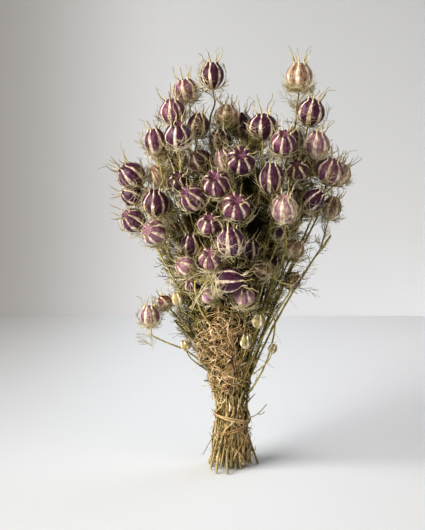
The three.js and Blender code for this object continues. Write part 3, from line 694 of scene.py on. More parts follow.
def capsule_skin(tone, deep, clear, pale, faded, striped):
    """Dried seed case, grown and shrunk papery: matt, streaked from base to crown, with cream stripes
    on its ribs. Faded is how far up its base has gone cream, and striped how broad its stripes are."""
    finish, add = new_finish("dried_papery_seed_case_" + tone, 0.43, 0.4)
    rib, rise, lot = [
        add("ShaderNodeAttribute", attribute_name=label).outputs["Fac"] for label in ("rib", "rise", "lot")]
    strip = add("ShaderNodeAttribute", attribute_name="strip").outputs["Vector"]
    body = add("ShaderNodeTexCoord").outputs["Object"]

    # Streaks about 1 mm wide that run with the ribs, blotches of some 4 mm, and a shade for each pod
    streaks = {"Vector": strip, "W": lot, "Scale": 8.0, "Detail": 4.0, "Roughness": 0.62}
    streaks = add(NOISE, streaks, noise_dimensions="4D")
    blotch = add(NOISE, {"Vector": body, "Scale": 240.0, "Detail": 4.0, "Roughness": 0.6})
    own = add("MULTIPLY_ADD", [add("FRACT", [lot]), 0.12, -0.06])
    shade = add("MULTIPLY_ADD", [streaks, 0.6, own])
    shade = add("MULTIPLY_ADD", [blotch, 0.4, shade])
    panel = add("ShaderNodeValToRGB", [shade], stops=[
        (0.40, deep), (0.49, clear), (0.55, clear), (0.66, pale)])

    # The base fades to cream, in uneven tongues
    cream = add("ShaderNodeValToRGB", [blotch], stops=[
        (0.38, "#b09a79"), (0.5, "#dfcfb6"), (0.6, "#f5ede0")])
    fade = add("MULTIPLY_ADD", [shade, 0.5, rise])
    pod_fade = add("FRACT", [add("MULTIPLY", [lot, 3.7])])
    fade = add("MULTIPLY_ADD", [pod_fade, -0.2, fade])
    fade = add(RANGE, [fade, faded + 0.25, faded + 0.05, 0.0, 0.9], **SMOOTH)

    # Cream stripes on the ribs, broad below and pointed at the crown, with soft lilac edges
    width = add("ShaderNodeFloatCurve", {"Value": rise}, stops=[
        (0, 0.45), (0.2, 0.62), (0.45, 0.76), (0.68, 0.87), (0.8, 0.84), (0.86, 0.87), (0.9, 1.0), (1, 1.0)])
    stripe = add("SUBTRACT", [rib, width])
    ragged = add(RANGE, [shade, 0.35, 0.65, striped - 0.16, striped + 0.10])
    stripe = add("ADD", [stripe, ragged])
    edge = add(RANGE, [stripe, -0.22, 0.0, 0.0, 0.65], **SMOOTH)
    heart = add(RANGE, [stripe, -0.05, 0.08, 0.0, 0.95], **SMOOTH)
    vein = add(RANGE, [rib, 0.985, 1.0, 0.0, 0.4])

    # The star within the crown is pink along its rays and where they meet
    meet = add(RANGE, [rise, 0.965, 0.99, 0.0, 0.8], **SMOOTH)
    rays = add(RANGE, [rise, 0.87, 0.9, 0.0, 0.65], **SMOOTH)
    ray = add(RANGE, [rib, 0.8, 0.96, 0.0, 1.0], **SMOOTH)
    rays = add("MULTIPLY", [rays, ray])
    star = add("MAXIMUM", [meet, rays])

    colour = panel.outputs[0]
    for share, over in ((fade, cream), (edge, linear(pale)), (heart, cream), (vein, linear("#84603f")),
                        (star, linear("#a4637c"))):
        colour = add(MIX, {FACTOR: share, UNDER: colour, OVER: over}, data_type="RGBA").outputs[2]
    return finished(finish, colour, shade, 0.7, 0.0007)


def thread_finish(name, roughness, colours, tip_colour):
    """Dried plant thread: colours vary from thread to thread, and the tips are bleached or burnt."""
    finish, add = new_finish(name, roughness, 0.25)
    lot, along = [
        add("ShaderNodeAttribute", attribute_name=label).outputs["Fac"] for label in ("lot", "along")]
    body = add("ShaderNodeTexCoord").outputs["Object"]
    patches = add(NOISE, {"Vector": body, "Scale": 150.0, "Detail": 3.0})
    mixed = add(RANGE, [patches, 0.3, 0.7, -0.2, 0.2])
    mixed = add("ADD", [mixed, lot])
    colour = add("ShaderNodeValToRGB", [mixed], stops=ramp(colours, 0.1, 0.8))
    tip = add(RANGE, [along, 0.5, 1.0, 0.0, 0.6])
    colour = add(MIX, {FACTOR: tip, UNDER: colour, OVER: linear(tip_colour)}, data_type="RGBA")
    return finished(finish, colour.outputs[2], patches, 0.3, 0.0002)


def fibre_finish(name, colours, run, roughness=0.7, foot=None):
    """Split plant fibre, such as stalk skin or raffia. The run squeezes the pattern across the fibres,
    which lie about 0.6 mm apart, and stretches it along them. Its foot may have weathered."""
    finish, add = new_finish(name, roughness, 0.3)
    body = add("ShaderNodeTexCoord").outputs["Object"]
    lot = add("ShaderNodeAttribute", attribute_name="lot").outputs["Fac"]
    laid = add("ShaderNodeMapping", {"Vector": body, "Scale": run})
    fibres = add(NOISE, {"Vector": laid, "Scale": 1600.0, "Detail": 3.0})
    stains = add(NOISE, {"Vector": body, "Scale": 90.0, "Detail": 3.0})
    mixed = add("MULTIPLY_ADD", [fibres, 0.55, -0.28])
    mixed = add("MULTIPLY_ADD", [stains, 0.6, mixed])
    mixed = add("MULTIPLY_ADD", [lot, 0.45, mixed])
    colour = add("ShaderNodeValToRGB", [mixed], stops=ramp(colours, 0.15, 0.75)).outputs[0]
    if foot:
        level = add("ShaderNodeSeparateXYZ", [body]).outputs["Z"]
        level = add("MULTIPLY_ADD", [stains, -0.08, level])
        low = add(RANGE, [level, -0.03, 0.05, 0.6, 0.0])
        worn = add(MIX, {FACTOR: fibres, UNDER: linear("#3b3015"), OVER: linear(foot)}, data_type="RGBA")
        colour = add(MIX, {FACTOR: low, UNDER: colour, OVER: worn.outputs[2]}, data_type="RGBA").outputs[2]
    return finished(finish, colour, fibres, 0.7, 0.0003)


# Sub-parts of the bunch

def horn_lines(pod, rng):
    """A cream claw at the top of each rib, and the thin horns that rise from them, sway and curl, in the
    pod's own space."""
    lines = Lines()
    for rib in range(pod.ribs):
        turn = 2 * math.pi * rib / pod.ribs
        out = spoke(turn)
        root = out * (pod.radius * CROWN_SHARE) + UP * ((CROWN_HEIGHT - 0.5) * pod.height)
        claw = pod.radius * rng.uniform(0.2, 0.6 if pod.bent_horns else 0.4)
        lean = rng.uniform(0.1, 0.7)
        lines.add([
            root - UP * 2.2 + out * 1.7,
            root + out * 0.5 + UP * 0.3,
            root + (UP + out * lean * 0.5) * claw * 0.6,
            root + (UP + out * lean) * claw,
        ], 1.25, 0.4, lot=0.9)
    for root, middle, tip, out in pod.horns:
        length = (tip - root).length
        across = Vector((-out.y, out.x, 0))
        side = across * rng.either(0.22) * length
        curl = rng.uniform(-0.15, 0.25) * length
        bow = rng.uniform(0.0, 0.12) * length
        lines.add([
            root,
            root.lerp(middle, 0.5) + out * bow,
            middle + out * bow + side * 0.4,
            middle.lerp(tip, 0.5) + side + across * rng.either(0.05) * length,
            tip + side * 0.6 + out * curl - UP * abs(curl) * 0.4,
        ], 0.65, 0.24, lot=rng.uniform(0, 0.8))
    return lines


def seed_pod_mesh(pod, rng):
    mesh = grown(CAPSULE, horn_lines(pod, rng).mesh(), {
        "Ribs": pod.ribs,
        "Width": 2 * pod.radius * MM,
        "Height": pod.height * MM,
        "Rib Height": rng.uniform(0.05, 0.065) * pod.radius * MM,
        "Swell": rng.uniform(0.03, 0.08),
        "Taper": rng.uniform(0.0, 0.2),
        "Dimple": rng.uniform(0.08, 0.12),
        "Crest": rng.uniform(0.04, 0.08),
        "Lot": rng.uniform(0, 20),
        "Skin": SKINS[OWN_SKIN.get(pod.number, pod.tone)],
        "Horn": HORN,
    })
    place = pod.place()
    place.translation *= MM
    mesh.transform(place)
    return mesh


def joined(meshes):
    """Two meshes as one, with their materials and attributes."""
    pieces = [linked("part", mesh) for mesh in meshes]
    with bpy.context.temp_override(active_object=pieces[0], selected_editable_objects=pieces):
        bpy.ops.object.join()
    whole = pieces[0].data
    bpy.data.objects.remove(pieces[0])
    return whole


def seed_pods(pods):
    """One piece for each packed pod node, which holds one pod or two that touch."""
    rng = Draws(3)
    count = 0
    for pod in pods:
        if pod.paired:
            continue
        count += 1
        partner = pods[pod.number + 1] if pod.number + 1 < len(pods) else None
        mesh = seed_pod_mesh(pod, rng)
        if partner and partner.paired:
            mesh = joined([mesh, seed_pod_mesh(partner, rng)])
        place_piece(f"seed_pod_{count:02d}", mesh, "pod_" + pod.tone, f"pod_{count:02d}")


def bract_lines(pods):
    """Feathery bracts: their stalks leave the neck and wrap the pod, and fork to kinked hairs that stand
    out from it. Returns the lines of the stalks and those of the hairs."""
    rng = Draws(11)
    kink = rng.either
    stalks, hairs = Lines(), Lines()
    for pod in pods:
        place = pod.place()
        hairy = pod.tone in ("straw", "brown") or pod.number in NESTED

        def shell(turn, sweep, lift):
            """A point over the pod: its turn, its angle up from the base and its height off the skin."""
            out = (pod.radius + lift) * math.sin(sweep)
            up = -(pod.height / 2 + lift) * math.cos(sweep)
            return place @ spoke(turn, out, up)

        nest = pod.number in NESTED
        count = 26 if nest else 11 if hairy else 8
        for k in range(count):
            turn = 2 * math.pi * (k + kink(0.4)) / count
            drift = kink(1.1)
            reach = rng.uniform(0.5, 1.3) if nest else rng.uniform(0.9, 2.3)
            open_out = rng.uniform(0.8, 6.0)
            lot = rng.uniform(0.4 if nest else 0, 1)

            def stalk_at(s):
                return turn + drift * s, 0.15 + reach * s, 0.7 + open_out * s * s

            stalks.add([shell(*stalk_at(s)) for s in (0, 0.25, 0.5, 0.75, 1)], 0.42, 0.22, lot)
            for fork in range(7):
                share = 0.2 + 0.11 * fork + kink(0.06)
                at, sweep, lift = stalk_at(share)
                spread = rng.uniform(0.15, 0.8) * (1 if fork % 2 else -1)
                rise = rng.uniform(0.0, 0.65)
                stand = rng.uniform(-0.3, 5.5)
                hair = [shell(at + spread * s ** 0.8 + kink(0.06) * s, sweep + rise * s + kink(0.06) * s,
                              max(lift + stand * s * s + kink(0.7) * s, 0.4)) for s in (0, 0.35, 0.7, 1)]
                hairs.add(hair, 0.3, 0.17, lot + kink(0.25))
                if rng.random() < 0.65:
                    at += spread * 0.4
                    sweep += rise * 0.45
                    lift = max(lift + stand * 0.2, 0.4)
                    twig = [shell(at - spread * s + kink(0.05), sweep + rise * 0.8 * s,
                                  lift + abs(stand) * s) for s in (0, 0.5, 1)]
                    hairs.add(twig, 0.22, 0.14, lot + kink(0.2))
    return stalks, hairs


def feather(lines, rng, root, way, length, thick, forks, lot, droop=0.0, curl=0.5):
    """A leaf cut to threads: a curved midrib with forked threads in pairs."""
    way = way.normalized()
    side = way.cross(Vector([rng.either(1) for _ in range(3)])).normalized()
    face = way.cross(side)

    def rib(s):
        bend = curl * length * s * s
        return root + way * (length * s) + face * bend - UP * (droop * length * s * s)

    lines.add([rib(s) for s in (0, 0.35, 0.7, 1)], thick, thick * 0.45, lot)
    for fork in range(forks):
        s = 0.25 + 0.65 * fork / forks
        way_out = 1 if fork % 2 else -1
        span = length * (0.45 - 0.25 * s) * rng.uniform(0.7, 1.2)
        ahead = (rib(min(s + 0.1, 1)) - rib(s)).normalized()
        out = (side * way_out * rng.uniform(0.6, 1) + ahead * rng.uniform(0.7, 1.1)
               + face * rng.either(0.4)).normalized()
        hook = face * rng.either(0.25) + ahead * 0.25
        start = rib(s)
        tip = start + out * span + hook * span
        knee = start + out * span * 0.55
        lines.add([start, knee, tip], thick * 0.62, thick * 0.34, lot + rng.either(0.08))
        if rng.random() < 0.6:
            twig = (out + hook * 2 + side * rng.either(0.8)).normalized()
            lines.add([knee, knee + twig * span * 0.3, knee + twig * span * 0.5 + ahead * span * 0.1],
                      thick * 0.5, thick * 0.3, lot)


def fallen_bracts(lines, pod, faces):
    """Long bracts that hang from the base of a pod that lies on its side."""
    rng = Draws(29)
    for _ in range(40):
        root = pod.base(rng.uniform(-5, 6)) + Vector((0, rng.uniform(-6, 2), rng.uniform(-4, 9)))
        way = Vector((rng.uniform(-1, -0.5), rng.uniform(-0.5, 0.2), rng.uniform(-0.3, 0.9))).normalized()
        bend = Vector((rng.uniform(-0.4, 0.5), rng.uniform(-0.2, 0.4), rng.uniform(-2.6, -1.2)))
        points = curled(rng, root, way, bend, rng.uniform(14, 34), 1.4)
        if not hides_a_face(points[2:], faces):
            lines.add(points, 0.42, 0.22, rng.uniform(0.3, 1))


def clear_of_pods(point, centres, reaches, margin=1.0):
    return bool((np.linalg.norm(centres - np.array(point), axis=1) > reaches + margin).all())


def leaves_under_pods(pods):
    """Thready leaves on the last stretch of each stem, in a loose nest under its pod."""
    rng = Draws(13)
    lines = Lines()
    for pod in pods:
        for _ in range(18 if pod.number in NESTED else 6):
            root = pod.base(rng.uniform(3, 24))
            turn = rng.uniform(0, 2 * math.pi)
            way = spoke(turn, 1, rng.uniform(-0.2, 0.8)) + pod.axis * 0.4
            feather(lines, rng, root, way, rng.uniform(11, 21), 0.27, rng.randrange(5, 8), rng.random(),
                    curl=rng.either(0.5))
    return lines


def leaves_between_pods(routes, centres, reaches):
    """Thready green leaves on the stems between the pods."""
    rng = Draws(17)
    lines = Lines()
    for route in routes:
        for _ in range(12):
            k = rng.randrange(1, len(route) - 1)
            root = route[k].lerp(route[k + 1], rng.random())
            sparse = root.z > 305 and rng.random() < 0.55
            if root.z < 150 or sparse or not clear_of_pods(root, centres, reaches):
                continue
            turn = rng.uniform(0, 2 * math.pi)
            way = spoke(turn, 1, rng.uniform(0.3, 1.6))
            feather(lines, rng, root, way, rng.uniform(14, 30), 0.32, rng.randrange(5, 9), rng.random(),
                    droop=rng.uniform(-0.1, 0.3))
    return lines


HEART_MIDDLE = Vector((4, -2, 267))  # of the room that the pods enclose
HEART_HALF = Vector((65, 46, 75))
HEART_POINTS = 17000  # points in all its leaves
NECK_LEAVES = 1060
DRY_LEAVES = 440
DRY_THREADS = 240
WISPS = 130
SHEATH_STRIPS = 250
LOOSE_STEMS = 46


def leaves_in_the_heart(centres, reaches):
    """Leaves that fill the room between the pods, where the photograph shows no daylight."""
    rng = Draws(19)
    lines = Lines()
    while len(lines.points) < HEART_POINTS:
        place = Vector([rng.gauss(0, 1) for _ in range(3)]).normalized()
        place = place * rng.uniform(0.66, 1.0)
        root = HEART_MIDDLE + place * HEART_HALF
        if not clear_of_pods(root, centres, reaches):
            continue
        way = Vector((place.x + rng.either(0.7), place.y + rng.either(0.7),
                      rng.uniform(0, 1.3)))
        # Painted shade: colours drawn mostly from the dark end, for the shaded room inside the bunch, spread
        # at random
        feather(lines, rng, root, way, rng.uniform(16, 30), 0.42, rng.randrange(6, 10),
                rng.random() ** 1.4 * 0.75, curl=rng.either(0.7))
    return lines


FRONT = -15  # pods and buds with a middle before this depth show their faces


def hides_a_face(points, faces):
    """Whether any of the points lies before the face of a pod or bud in front."""
    places, reaches = faces
    for point in points:
        away = places - np.array(point)
        before = (np.hypot(away[:, 0], away[:, 2]) < reaches) & (away[:, 1] > -reaches)
        before = before & (places[:, 1] < FRONT)
        if before.any():
            return True
    return False


def leaves_of_the_neck(faces):
    """The mass of thready leaves in the neck of the bunch, dark inside and pale at the leafy outline: painted
    shade deep in the bunch and painted light at its outline.
    """
    rng = Draws(23)
    lines = Lines()
    for number in range(NECK_LEAVES):
        height = 74 + 163 * rng.random() ** 1.15
        turn = rng.uniform(0, 2 * math.pi) if number % 4 else rng.gauss(math.pi + 0.5, 0.5)
        depth = math.sqrt(rng.uniform(0.3, 1.0))
        root = leafy_point(turn, depth, height)
        lean = turn + rng.either(1.3)
        way = spoke(lean, 1, rng.uniform(0.4, 3.4))
        room = radius_at(LEAFY_OUTLINE, height) * (1 - depth) + min(height / 11, 12)
        length = min(rng.uniform(12, 28), room)
        # Painted shade: the deeper a leaf lies in the bunch, the darker its colour
        lot = rng.uniform(0.3, 1.35) * depth ** 4
        if not hides_a_face([root, root + way.normalized() * length], faces):
            feather(lines, rng, root, way, length, 0.4, rng.randrange(6, 10), lot,
                    curl=rng.either(0.7))
    return lines


def curled(rng, root, way, bend, length, waves):
    """Points of a dry strip that runs from its root, bends aside and ripples."""
    beat, phase = rng.uniform(3, 8), rng.uniform(0, 6)
    ripple = way.cross(bend).normalized() * waves
    return [root + way * (length * s) + bend * (length * 0.5 * s * s) + ripple * math.sin(beat * s + phase)
            for s in (0, 0.2, 0.4, 0.6, 0.8, 1)]


def clump_place(rng, number):
    """Turn and height of a place in one of the clumps, or for one in six anywhere on the neck."""
    if number % 6 == 0:
        return rng.uniform(0, 2 * math.pi), rng.uniform(68, 190)
    across, height = DRY_CLUMPS[number % len(DRY_CLUMPS)]
    height = max(rng.gauss(height, 6), 74)
    share = (rng.gauss(across, 5.5) - radius_at(LEAFY_LEAN, height)) / radius_at(LEAFY_OUTLINE, height)
    return math.asin(min(max(share, -1), 1)) - math.pi / 2, height


def dry_leaves(faces):
    """Brown curled leaves, thickest in front at the neck of the bunch."""
    rng = Draws(31)
    lines = Lines()
    for number in range(DRY_LEAVES):
        turn, height = clump_place(rng, number)
        outward, sideways = facing(turn)
        root = leafy_point(turn, rng.uniform(0.8, 1.1), height)
        way = (sideways * rng.either(1) + UP * rng.either(1.2)
               + outward * rng.uniform(0, 0.35)).normalized()
        bend = (sideways * rng.either(1.6) - outward * rng.uniform(0.0, 0.7)
                + UP * rng.either(1.2))
        points = curled(rng, root, way, bend, rng.uniform(7, 18), 1.9)
        if not hides_a_face(points, faces):
            lines.add(points, rng.uniform(0.4, 1.1), 0.25, rng.random(), twist=rng.uniform(0, 6),
                      curl=rng.either(4))
    return lines


def dry_tangle(faces):
    """Long dry threads that wander over the front of the neck, like wood wool, or run down to the tie."""
    rng = Draws(33)
    lines = Lines()
    for number in range(DRY_THREADS):
        fallen = number % 5 == 1
        turn, height = clump_place(rng, number)
        heading = rng.gauss(-math.pi / 2, 0.5) if fallen else rng.uniform(0, 2 * math.pi)
        drift = rng.either(0.2) if fallen else rng.either(0.9)
        depth = rng.uniform(0.92, 1.1)
        points = []
        for _ in range(rng.randrange(6, 11)):
            points.append(leafy_point(turn, depth, height))
            heading += drift + rng.either(0.5)
            turn += 3.6 * math.cos(heading) / radius_at(LEAFY_OUTLINE, height)
            height = min(max(height + 3.6 * math.sin(heading), 66), 215)
            depth += rng.either(0.05)
        if not hides_a_face(points, faces):
            lines.add(points, rng.uniform(0.35, 0.7), 0.22, rng.uniform(0.35, 1.15), twist=rng.uniform(0, 6),
                      curl=1.5)
    return lines


def wisps():
    """Single long threads that stray out of the leafy outline."""
    rng = Draws(35)
    lines = Lines()
    for _ in range(WISPS):
        height = rng.uniform(80, 235)
        turn = rng.uniform(0, 2 * math.pi)
        outward, sideways = facing(turn)
        way = (outward + UP * rng.uniform(-0.4, 1.6) + sideways * rng.either(1)).normalized()
        bend = UP * rng.uniform(-1.2, 0.9) + sideways * rng.either(1)
        lines.add(curled(rng, leafy_point(turn, 0.9, height), way, bend, rng.uniform(12, 24), 1.6), 0.3, 0.17,
                  rng.uniform(0.2, 1))
    return lines


def foot_radius(height):
    """The radius of the bunch from its cut ends to the tie."""
    return BUNCH_RADIUS * (FOOT_FLARE + (1 - FOOT_FLARE) * min(height / FLARE_TOP, 1))


def sheath_strips():
    """Torn skins and leaf bases that hang along the stems under and above the tie."""
    rng = Draws(37)
    lines = Lines()
    for number in range(SHEATH_STRIPS):
        height = rng.uniform(3, 72)
        length = rng.uniform(7, 28)
        turn = rng.uniform(0, 2 * math.pi) if number % 2 else rng.gauss(-math.pi / 2, 0.7)
        outward, sideways = facing(turn)
        down = height - length > 1.5 and rng.random() < 0.7
        root = outward * (foot_radius(height) + rng.uniform(-2.5, 1.0)) + UP * height
        root.y += FOOT_SHIFT * max(1 - height / FLARE_TOP, 0)
        stray = 0.25 if number % 2 else 0.7
        way = (UP * (-1 if down else 1) + sideways * rng.uniform(-stray, stray)
               + outward * rng.uniform(0.0, 0.25 if down else 0.05)).normalized()
        bend = sideways * rng.either(1.2) + outward * rng.uniform(-0.4, 0.2)
        lines.add(curled(rng, root, way, bend, length, 1.3), rng.uniform(0.5, 1.9), 0.25,
                  rng.uniform(0.1, 1.1), twist=rng.uniform(0, 6), curl=rng.either(3))
    return lines


def stem_lines(pods, slots, middle, routes):
    """Whole stems from their cut ends to the pods, and the stems and twigs that stray at the foot."""
    rng = Draws(5)
    lines = Lines()
    for pod in pods:
        slot = slots[pod.number]
        outer = slot.length > 0.8 * BUNCH_RADIUS or pod.number == middle
        flare = FOOT_FLARE + rng.either(0.08)
        shift = 0 if pod.number == middle else FOOT_SHIFT
        right = max(slot.x, 0) / BUNCH_RADIUS
        cut = rng.choice((0.3, 0.3, 2, 5)) if outer else rng.uniform(1, 14)
        cut += right * rng.uniform(0, 14)
        foot = Vector((slot.x * (flare - 0.3 * right), slot.y * flare + shift, cut))
        wobble = Vector((rng.either(0.5), rng.either(0.5), 0))
        waist = Vector((slot.x * 0.95, slot.y * 0.95, 45)) + wobble
        knee = Vector((slot.x * 1.1, slot.y * 1.1 + shift * 0.4, 22)) - wobble
        tip = 0.5 if pod.number in HOOKED else 0.65
        lines.add([foot, knee, waist, *routes[pod.number]], rng.uniform(1.1, 1.4), tip, rng.random())
    for _ in range(LOOSE_STEMS):
        turn = rng.uniform(0, 2 * math.pi)
        radius = BUNCH_RADIUS * math.sqrt(rng.uniform(0.3, 1.05))
        spread = 1.42 - 0.3 * max(math.cos(turn), 0)
        foot = Vector((math.cos(turn) * radius * spread, math.sin(turn) * radius * 1.42 + FOOT_SHIFT,
                       rng.uniform(0.5, 9)))
        waist = spoke(turn, radius, 48)
        head = spoke(turn, radius * 1.5, rng.uniform(110, 190))
        lines.add([foot, waist, waist.lerp(head, 0.4), head], rng.uniform(0.7, 1.1), 0.4, rng.random())
    for root, tip, lot, *points in STRAY_TWIGS:
        lines.add([Vector(point) for point in points], root, tip, lot)
    return lines


def buds(lines):
    """Small unripe pods on stalks from the leafy part. Their stalks join the stems' lines."""
    rng = Draws(47)
    meshes = []
    for across, deep, up, width in BUD_ROWS:
        centre = Vector((across, deep, up))
        root = Vector((across * 0.55, deep * 0.5, up - 28))
        bend = Vector((across * 0.88, deep * 0.88, up - 14))
        lines.add([root, bend, centre - UP * width * 0.3], 0.7, 0.5, rng.random())
        bud = Pod(0, (across, deep, up, width, width * 1.1, rng.uniform(5, 25), math.degrees(
            math.atan2(deep, across)), "bud"))
        meshes.append(seed_pod_mesh(bud, rng))
    while len(meshes) > 1:
        meshes = [joined(meshes[:2]), *meshes[2:]]
    return meshes[0]


def raffia_lines():
    """Flat strands wound slanting round the bunch, frayed apart here and there."""
    rng = Draws(53)
    lines = Lines()
    for height, tilt, heading in TIE_ROUNDS:
        for strand in range(3):
            offset = (strand - 1) * 1.25
            start = rng.uniform(0, 6)
            points = []
            for step in range(ROUND_STEPS + 1):
                turn = start + 2 * math.pi * step / ROUND_STEPS * 1.04
                radius = BUNCH_RADIUS + 2.1 + 0.45 * strand + 0.35 * math.sin(3 * turn + strand)
                level = height + radius * math.tan(math.radians(tilt)) * math.cos(turn - heading)
                level += offset + 0.6 * math.sin(2 * turn + 2.1 * strand)
                points.append(spoke(turn, radius, level))
            lines.add(points, 0.85, 0.7, rng.random(), twist=rng.either(0.3) + math.pi / 2)
    return lines


def packed_middle(centres, reaches):
    """The tangled middle of the bunch, which leaves and pods stand out of, dark as painted shade. It gives
    way to pods.
    """
    rng = Draws(61)
    sides = MIDDLE_SIDES
    corners, faces = [], []
    for row, (radius, height, depth) in enumerate(MIDDLE_ROWS):
        for side in range(sides):
            turn = 2 * math.pi * (side + 0.5 * (row % 2)) / sides
            reach = radius * rng.uniform(0.8, 1.06)
            corner = Vector((math.cos(turn) * reach, math.sin(turn) * reach * depth, height))
            while not clear_of_pods(corner, centres, reaches, 2) and corner.xy.length > 2:
                corner.xy *= 0.9
            corners.append(corner * MM)
            if row:
                a, b = (row - 1) * sides + side, (row - 1) * sides + (side + 1) % sides
                c, d = row * sides + (side + 1) % sides, row * sides + side
                faces += [(a, b, c), (a, c, d)]
    faces += [list(range(sides))[::-1], list(range(len(corners) - sides, len(corners)))]
    mesh = bpy.data.meshes.new("middle")
    mesh.from_pydata(corners, [], faces)
    mesh.materials.append(DARK_PAINTED_SHADE)
    return mesh


TABLE_EDGE = 0.795  # metres behind the bunch
WALL_AT = 1.9


def backdrop(name, corners, colour, shade, reach, more=None):
    """A flat sheet of matt painted board. Its colour runs along an axis between two places, in metres,
    and dims by the shade to the left of the reach, less so in front where more gives a reach in depth.
    Both the run and the dimming are painted light and painted shade."""
    mesh = bpy.data.meshes.new(name)
    mesh.from_pydata(corners, [], [(0, 1, 2, 3)])
    sheet = linked(name, mesh)
    finish, add = new_finish("matt_board_painted_light_and_shade_" + name, 0.9, 0.2)
    at = add("ShaderNodeSeparateXYZ", [add("ShaderNodeTexCoord").outputs["Object"]]).outputs
    up, first, last = colour
    # Painted light and shade: the colour runs lighter or darker along the axis
    colour = add(RANGE, [at[up], first[0], last[0], 0.0, 1.0])
    colour = add(MIX, {FACTOR: colour, UNDER: linear(first[1]), OVER: linear(last[1])}, data_type="RGBA")
    # Painted shade: the sheet is darker to the left, on the table more so towards its far edge
    left = add(RANGE, [at["X"], *reach, 1.0, 0.0], **SMOOTH)
    if more:
        far = add(RANGE, [at["Y"], *more, 0.1, 1.0])
        left = add("MULTIPLY", [left, far])
    colour = {FACTOR: left, UNDER: colour.outputs[2], OVER: linear(shade)}
    colour = add(MIX, colour, data_type="RGBA", blend_type="MULTIPLY")
    mesh.materials.append(finished(finish, colour.outputs[2]))


def stage():
    """A plain pale table, and a wall some way behind its edge. Painted light and shade: the table darkens to
    the right, where the bunch's shadow falls, the wall is lighter low down, and both darken to the left, the
    table mostly towards its far edge.
    """
    backdrop("table", [(-3, -3, 0), (3, -3, 0), (3, TABLE_EDGE, 0), (-3, TABLE_EDGE, 0)],
             ("X", (0.02, "#ebf1fa"), (0.3, "#e4e7ed")), "#bfbbb7", (-0.42, -0.06), (-0.3, 0.8))
    backdrop("wall", [(-4, WALL_AT, -2), (4, WALL_AT, -2), (4, WALL_AT, 3), (-4, WALL_AT, 3)],
             ("Z", (-0.2, "#e9eef8"), (0.6, "#cfd3da")), "#bfbbb7", (-0.62, -0.08))


# Lamps: name, place, what it points at, size, watts and colour
LAMPS = [
    ("window", (-2.8, -1.45, 1.5), (0, 0, 0.2), (3.4, 2.0), 228, "#fff9f0"),
    ("bounce", (1.5, -1.6, 0.9), (0, 0, 0.2), (1.8, 1.8), 8, "#fff1dc"),
    ("back_fill", (0.6, 0.5, 0.75), (0.4, 0.1, 0), (0.5, 0.5), 1.8, "#f2f4ff"),
    ("wall_wash", (0.9, 1.2, -0.8), (0.3, WALL_AT, 0), (0.6, 0.6), 4, "#fffaf2"),
]
ROOM_COLOUR = "#e9e4d8"
ROOM_LIGHT = 0.27
GAMMA = 0.8  # the photograph is a little contrasty


def light():
    for name, place, target, size, watts, colour in LAMPS:
        data = bpy.data.lights.new(name, "AREA")
        data.shape = "RECTANGLE"
        data.size, data.size_y = size
        data.energy = watts
        data.color = linear(colour)[:3]
        lamp = linked(name, data)
        lamp.location = place
        lamp.rotation_euler = (Vector(target) - Vector(place)).to_track_quat("-Z", "Y").to_euler()
    world = bpy.data.worlds.new("room")
    world.use_nodes = True
    world.node_tree.nodes["Background"].inputs["Color"].default_value = linear(ROOM_COLOUR)
    world.node_tree.nodes["Background"].inputs["Strength"].default_value = ROOM_LIGHT
    bpy.context.scene.world = world
    bpy.context.scene.view_settings.view_transform = "Standard"
    bpy.context.scene.view_settings.gamma = GAMMA


camera()
stage()
light()

SWEEP = sweep_tree()
CAPSULE = capsule_tree()
SKINS = {
    "plum": capsule_skin("plum", "#240d1a", "#4f233f", "#8e6c82", 0.03, 0.0),
    "mauve": capsule_skin("mauve", "#431d2f", "#794a63", "#b0939f", 0.20, 0.03),
    "blush": capsule_skin("blush", "#673b4b", "#956f7f", "#cfb9b2", 0.34, 0.08),
    "straw": capsule_skin("straw", "#6c4a46", "#a98d77", "#e0d2b8", 0.32, 0.05),
    "brown": capsule_skin("brown", "#26121a", "#513138", "#8e7263", 0.10, -0.02),
    "rosy": capsule_skin("rosy", "#8a5a72", "#b88da3", "#e0d2c6", 0.38, 0.12),
    "russet": capsule_skin("russet", "#3f1620", "#78363f", "#b98d80", 0.55, 0.05),
    "bud": capsule_skin("bud", "#736c42", "#9f9467", "#cfc296", 0.3, 0.05),
}
HORN = thread_finish("dried_horn_of_seed_case", 0.55, ["#988c62", "#cbbd90", "#f1e7cd"], "#90855a")
BRACT = thread_finish("dried_bract_thread", 0.7, ["#82794a", "#cec297", "#f6eed6"], "#c0b58c")
# Its dark end also gives the painted shade of leaves deep in the bunch
GREEN = thread_finish("dried_green_leaf_thread", 0.75, ["#221e07", "#7c7031", "#d2c384"], "#b9ad6e")
BROWN = thread_finish("dry_curled_leaf", 0.75, ["#453010", "#ad8955", "#e3c393", "#f8e6c8"], "#d9ba82")
SHEATH = fibre_finish("torn_dry_stem_sheath", ["#403319", "#8f7849", "#cdb488", "#f3e6c8"], (1, 1, 0.06))
STALK = fibre_finish("dried_stem_skin", ["#35330c", "#857d3b", "#cbbe7e", "#ecddb2"], (1, 1, 0.06),
                     foot="#ecdcbd")
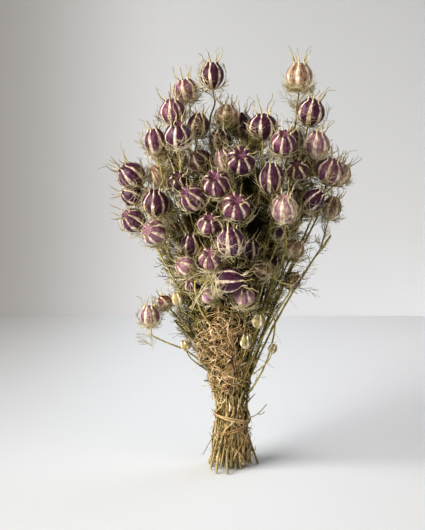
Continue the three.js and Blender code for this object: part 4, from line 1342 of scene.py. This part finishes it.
RAFFIA = fibre_finish("split_raffia_palm_leaf", ["#8f7350", "#c9ac80", "#e6d2ac"], (0.08, 0.08, 1))
# Painted shade: near-black colours for the shaded inside of the bunch
DARK_PAINTED_SHADE = fibre_finish("tangled_middle_painted_shade", ["#120d04", "#2a210d", "#4d4120"], (1, 1, 0.3), 0.9)

pods = [Pod(number, row) for number, row in enumerate(POD_ROWS)]
settle_pods(pods)
grow_horns(pods)
slots, middle = waist_slots(pods)
centres = np.array([pod.centre for pod in pods])
reaches = np.array([pod.reach for pod in pods])
routes = [route_stem(pod, slots[pod.number], centres, reaches + PASSING_ROOM) for pod in pods]

seed_pods(pods)
stems = stem_lines(pods, slots, middle, routes)
place_piece("unripe_buds", buds(stems), "stem", "stems")
place_piece("packed_middle", packed_middle(centres, reaches), "stem", "stems")
stalks, hairs = bract_lines(pods)
faces = (np.array([*centres, *[row[:3] for row in BUD_ROWS]]),
         np.array([*(reaches * 0.85), *[row[3] / 2 + 1 for row in BUD_ROWS]]))
fallen_bracts(stalks, pods[45], faces)
for name, lines, finish, sides, flatness, smoothing in (
    ("stems_whole", stems, STALK, 7, 1.0, 3),
    ("bract_stalks", stalks, BRACT, 3, 1.0, 2),
    ("bract_hairs", hairs, BRACT, 3, 1.0, 1),
    ("leaves_under_pods", leaves_under_pods(pods), BRACT, 3, 1.0, 1),
    ("leaves_between_pods", leaves_between_pods(routes, centres, reaches), GREEN, 3, 1.0, 1),
    ("leaves_in_the_heart", leaves_in_the_heart(centres, reaches), GREEN, 3, 1.0, 1),
    ("leaves_of_the_neck", leaves_of_the_neck(faces), GREEN, 3, 1.0, 1),
    ("dry_leaves", dry_leaves(faces), BROWN, 4, 0.35, 1),
    ("dry_tangle", dry_tangle(faces), BROWN, 3, 0.6, 2),
    ("stray_wisps", wisps(), BRACT, 3, 1.0, 2),
    ("sheath_strips", sheath_strips(), SHEATH, 4, 0.25, 1),
):
    swept(name, lines, finish, "stem", "stems", sides, flatness, smoothing)
swept("raffia_strands", raffia_lines(), RAFFIA, "raffia", "tie", sides=6, flatness=0.4, smoothing=2)
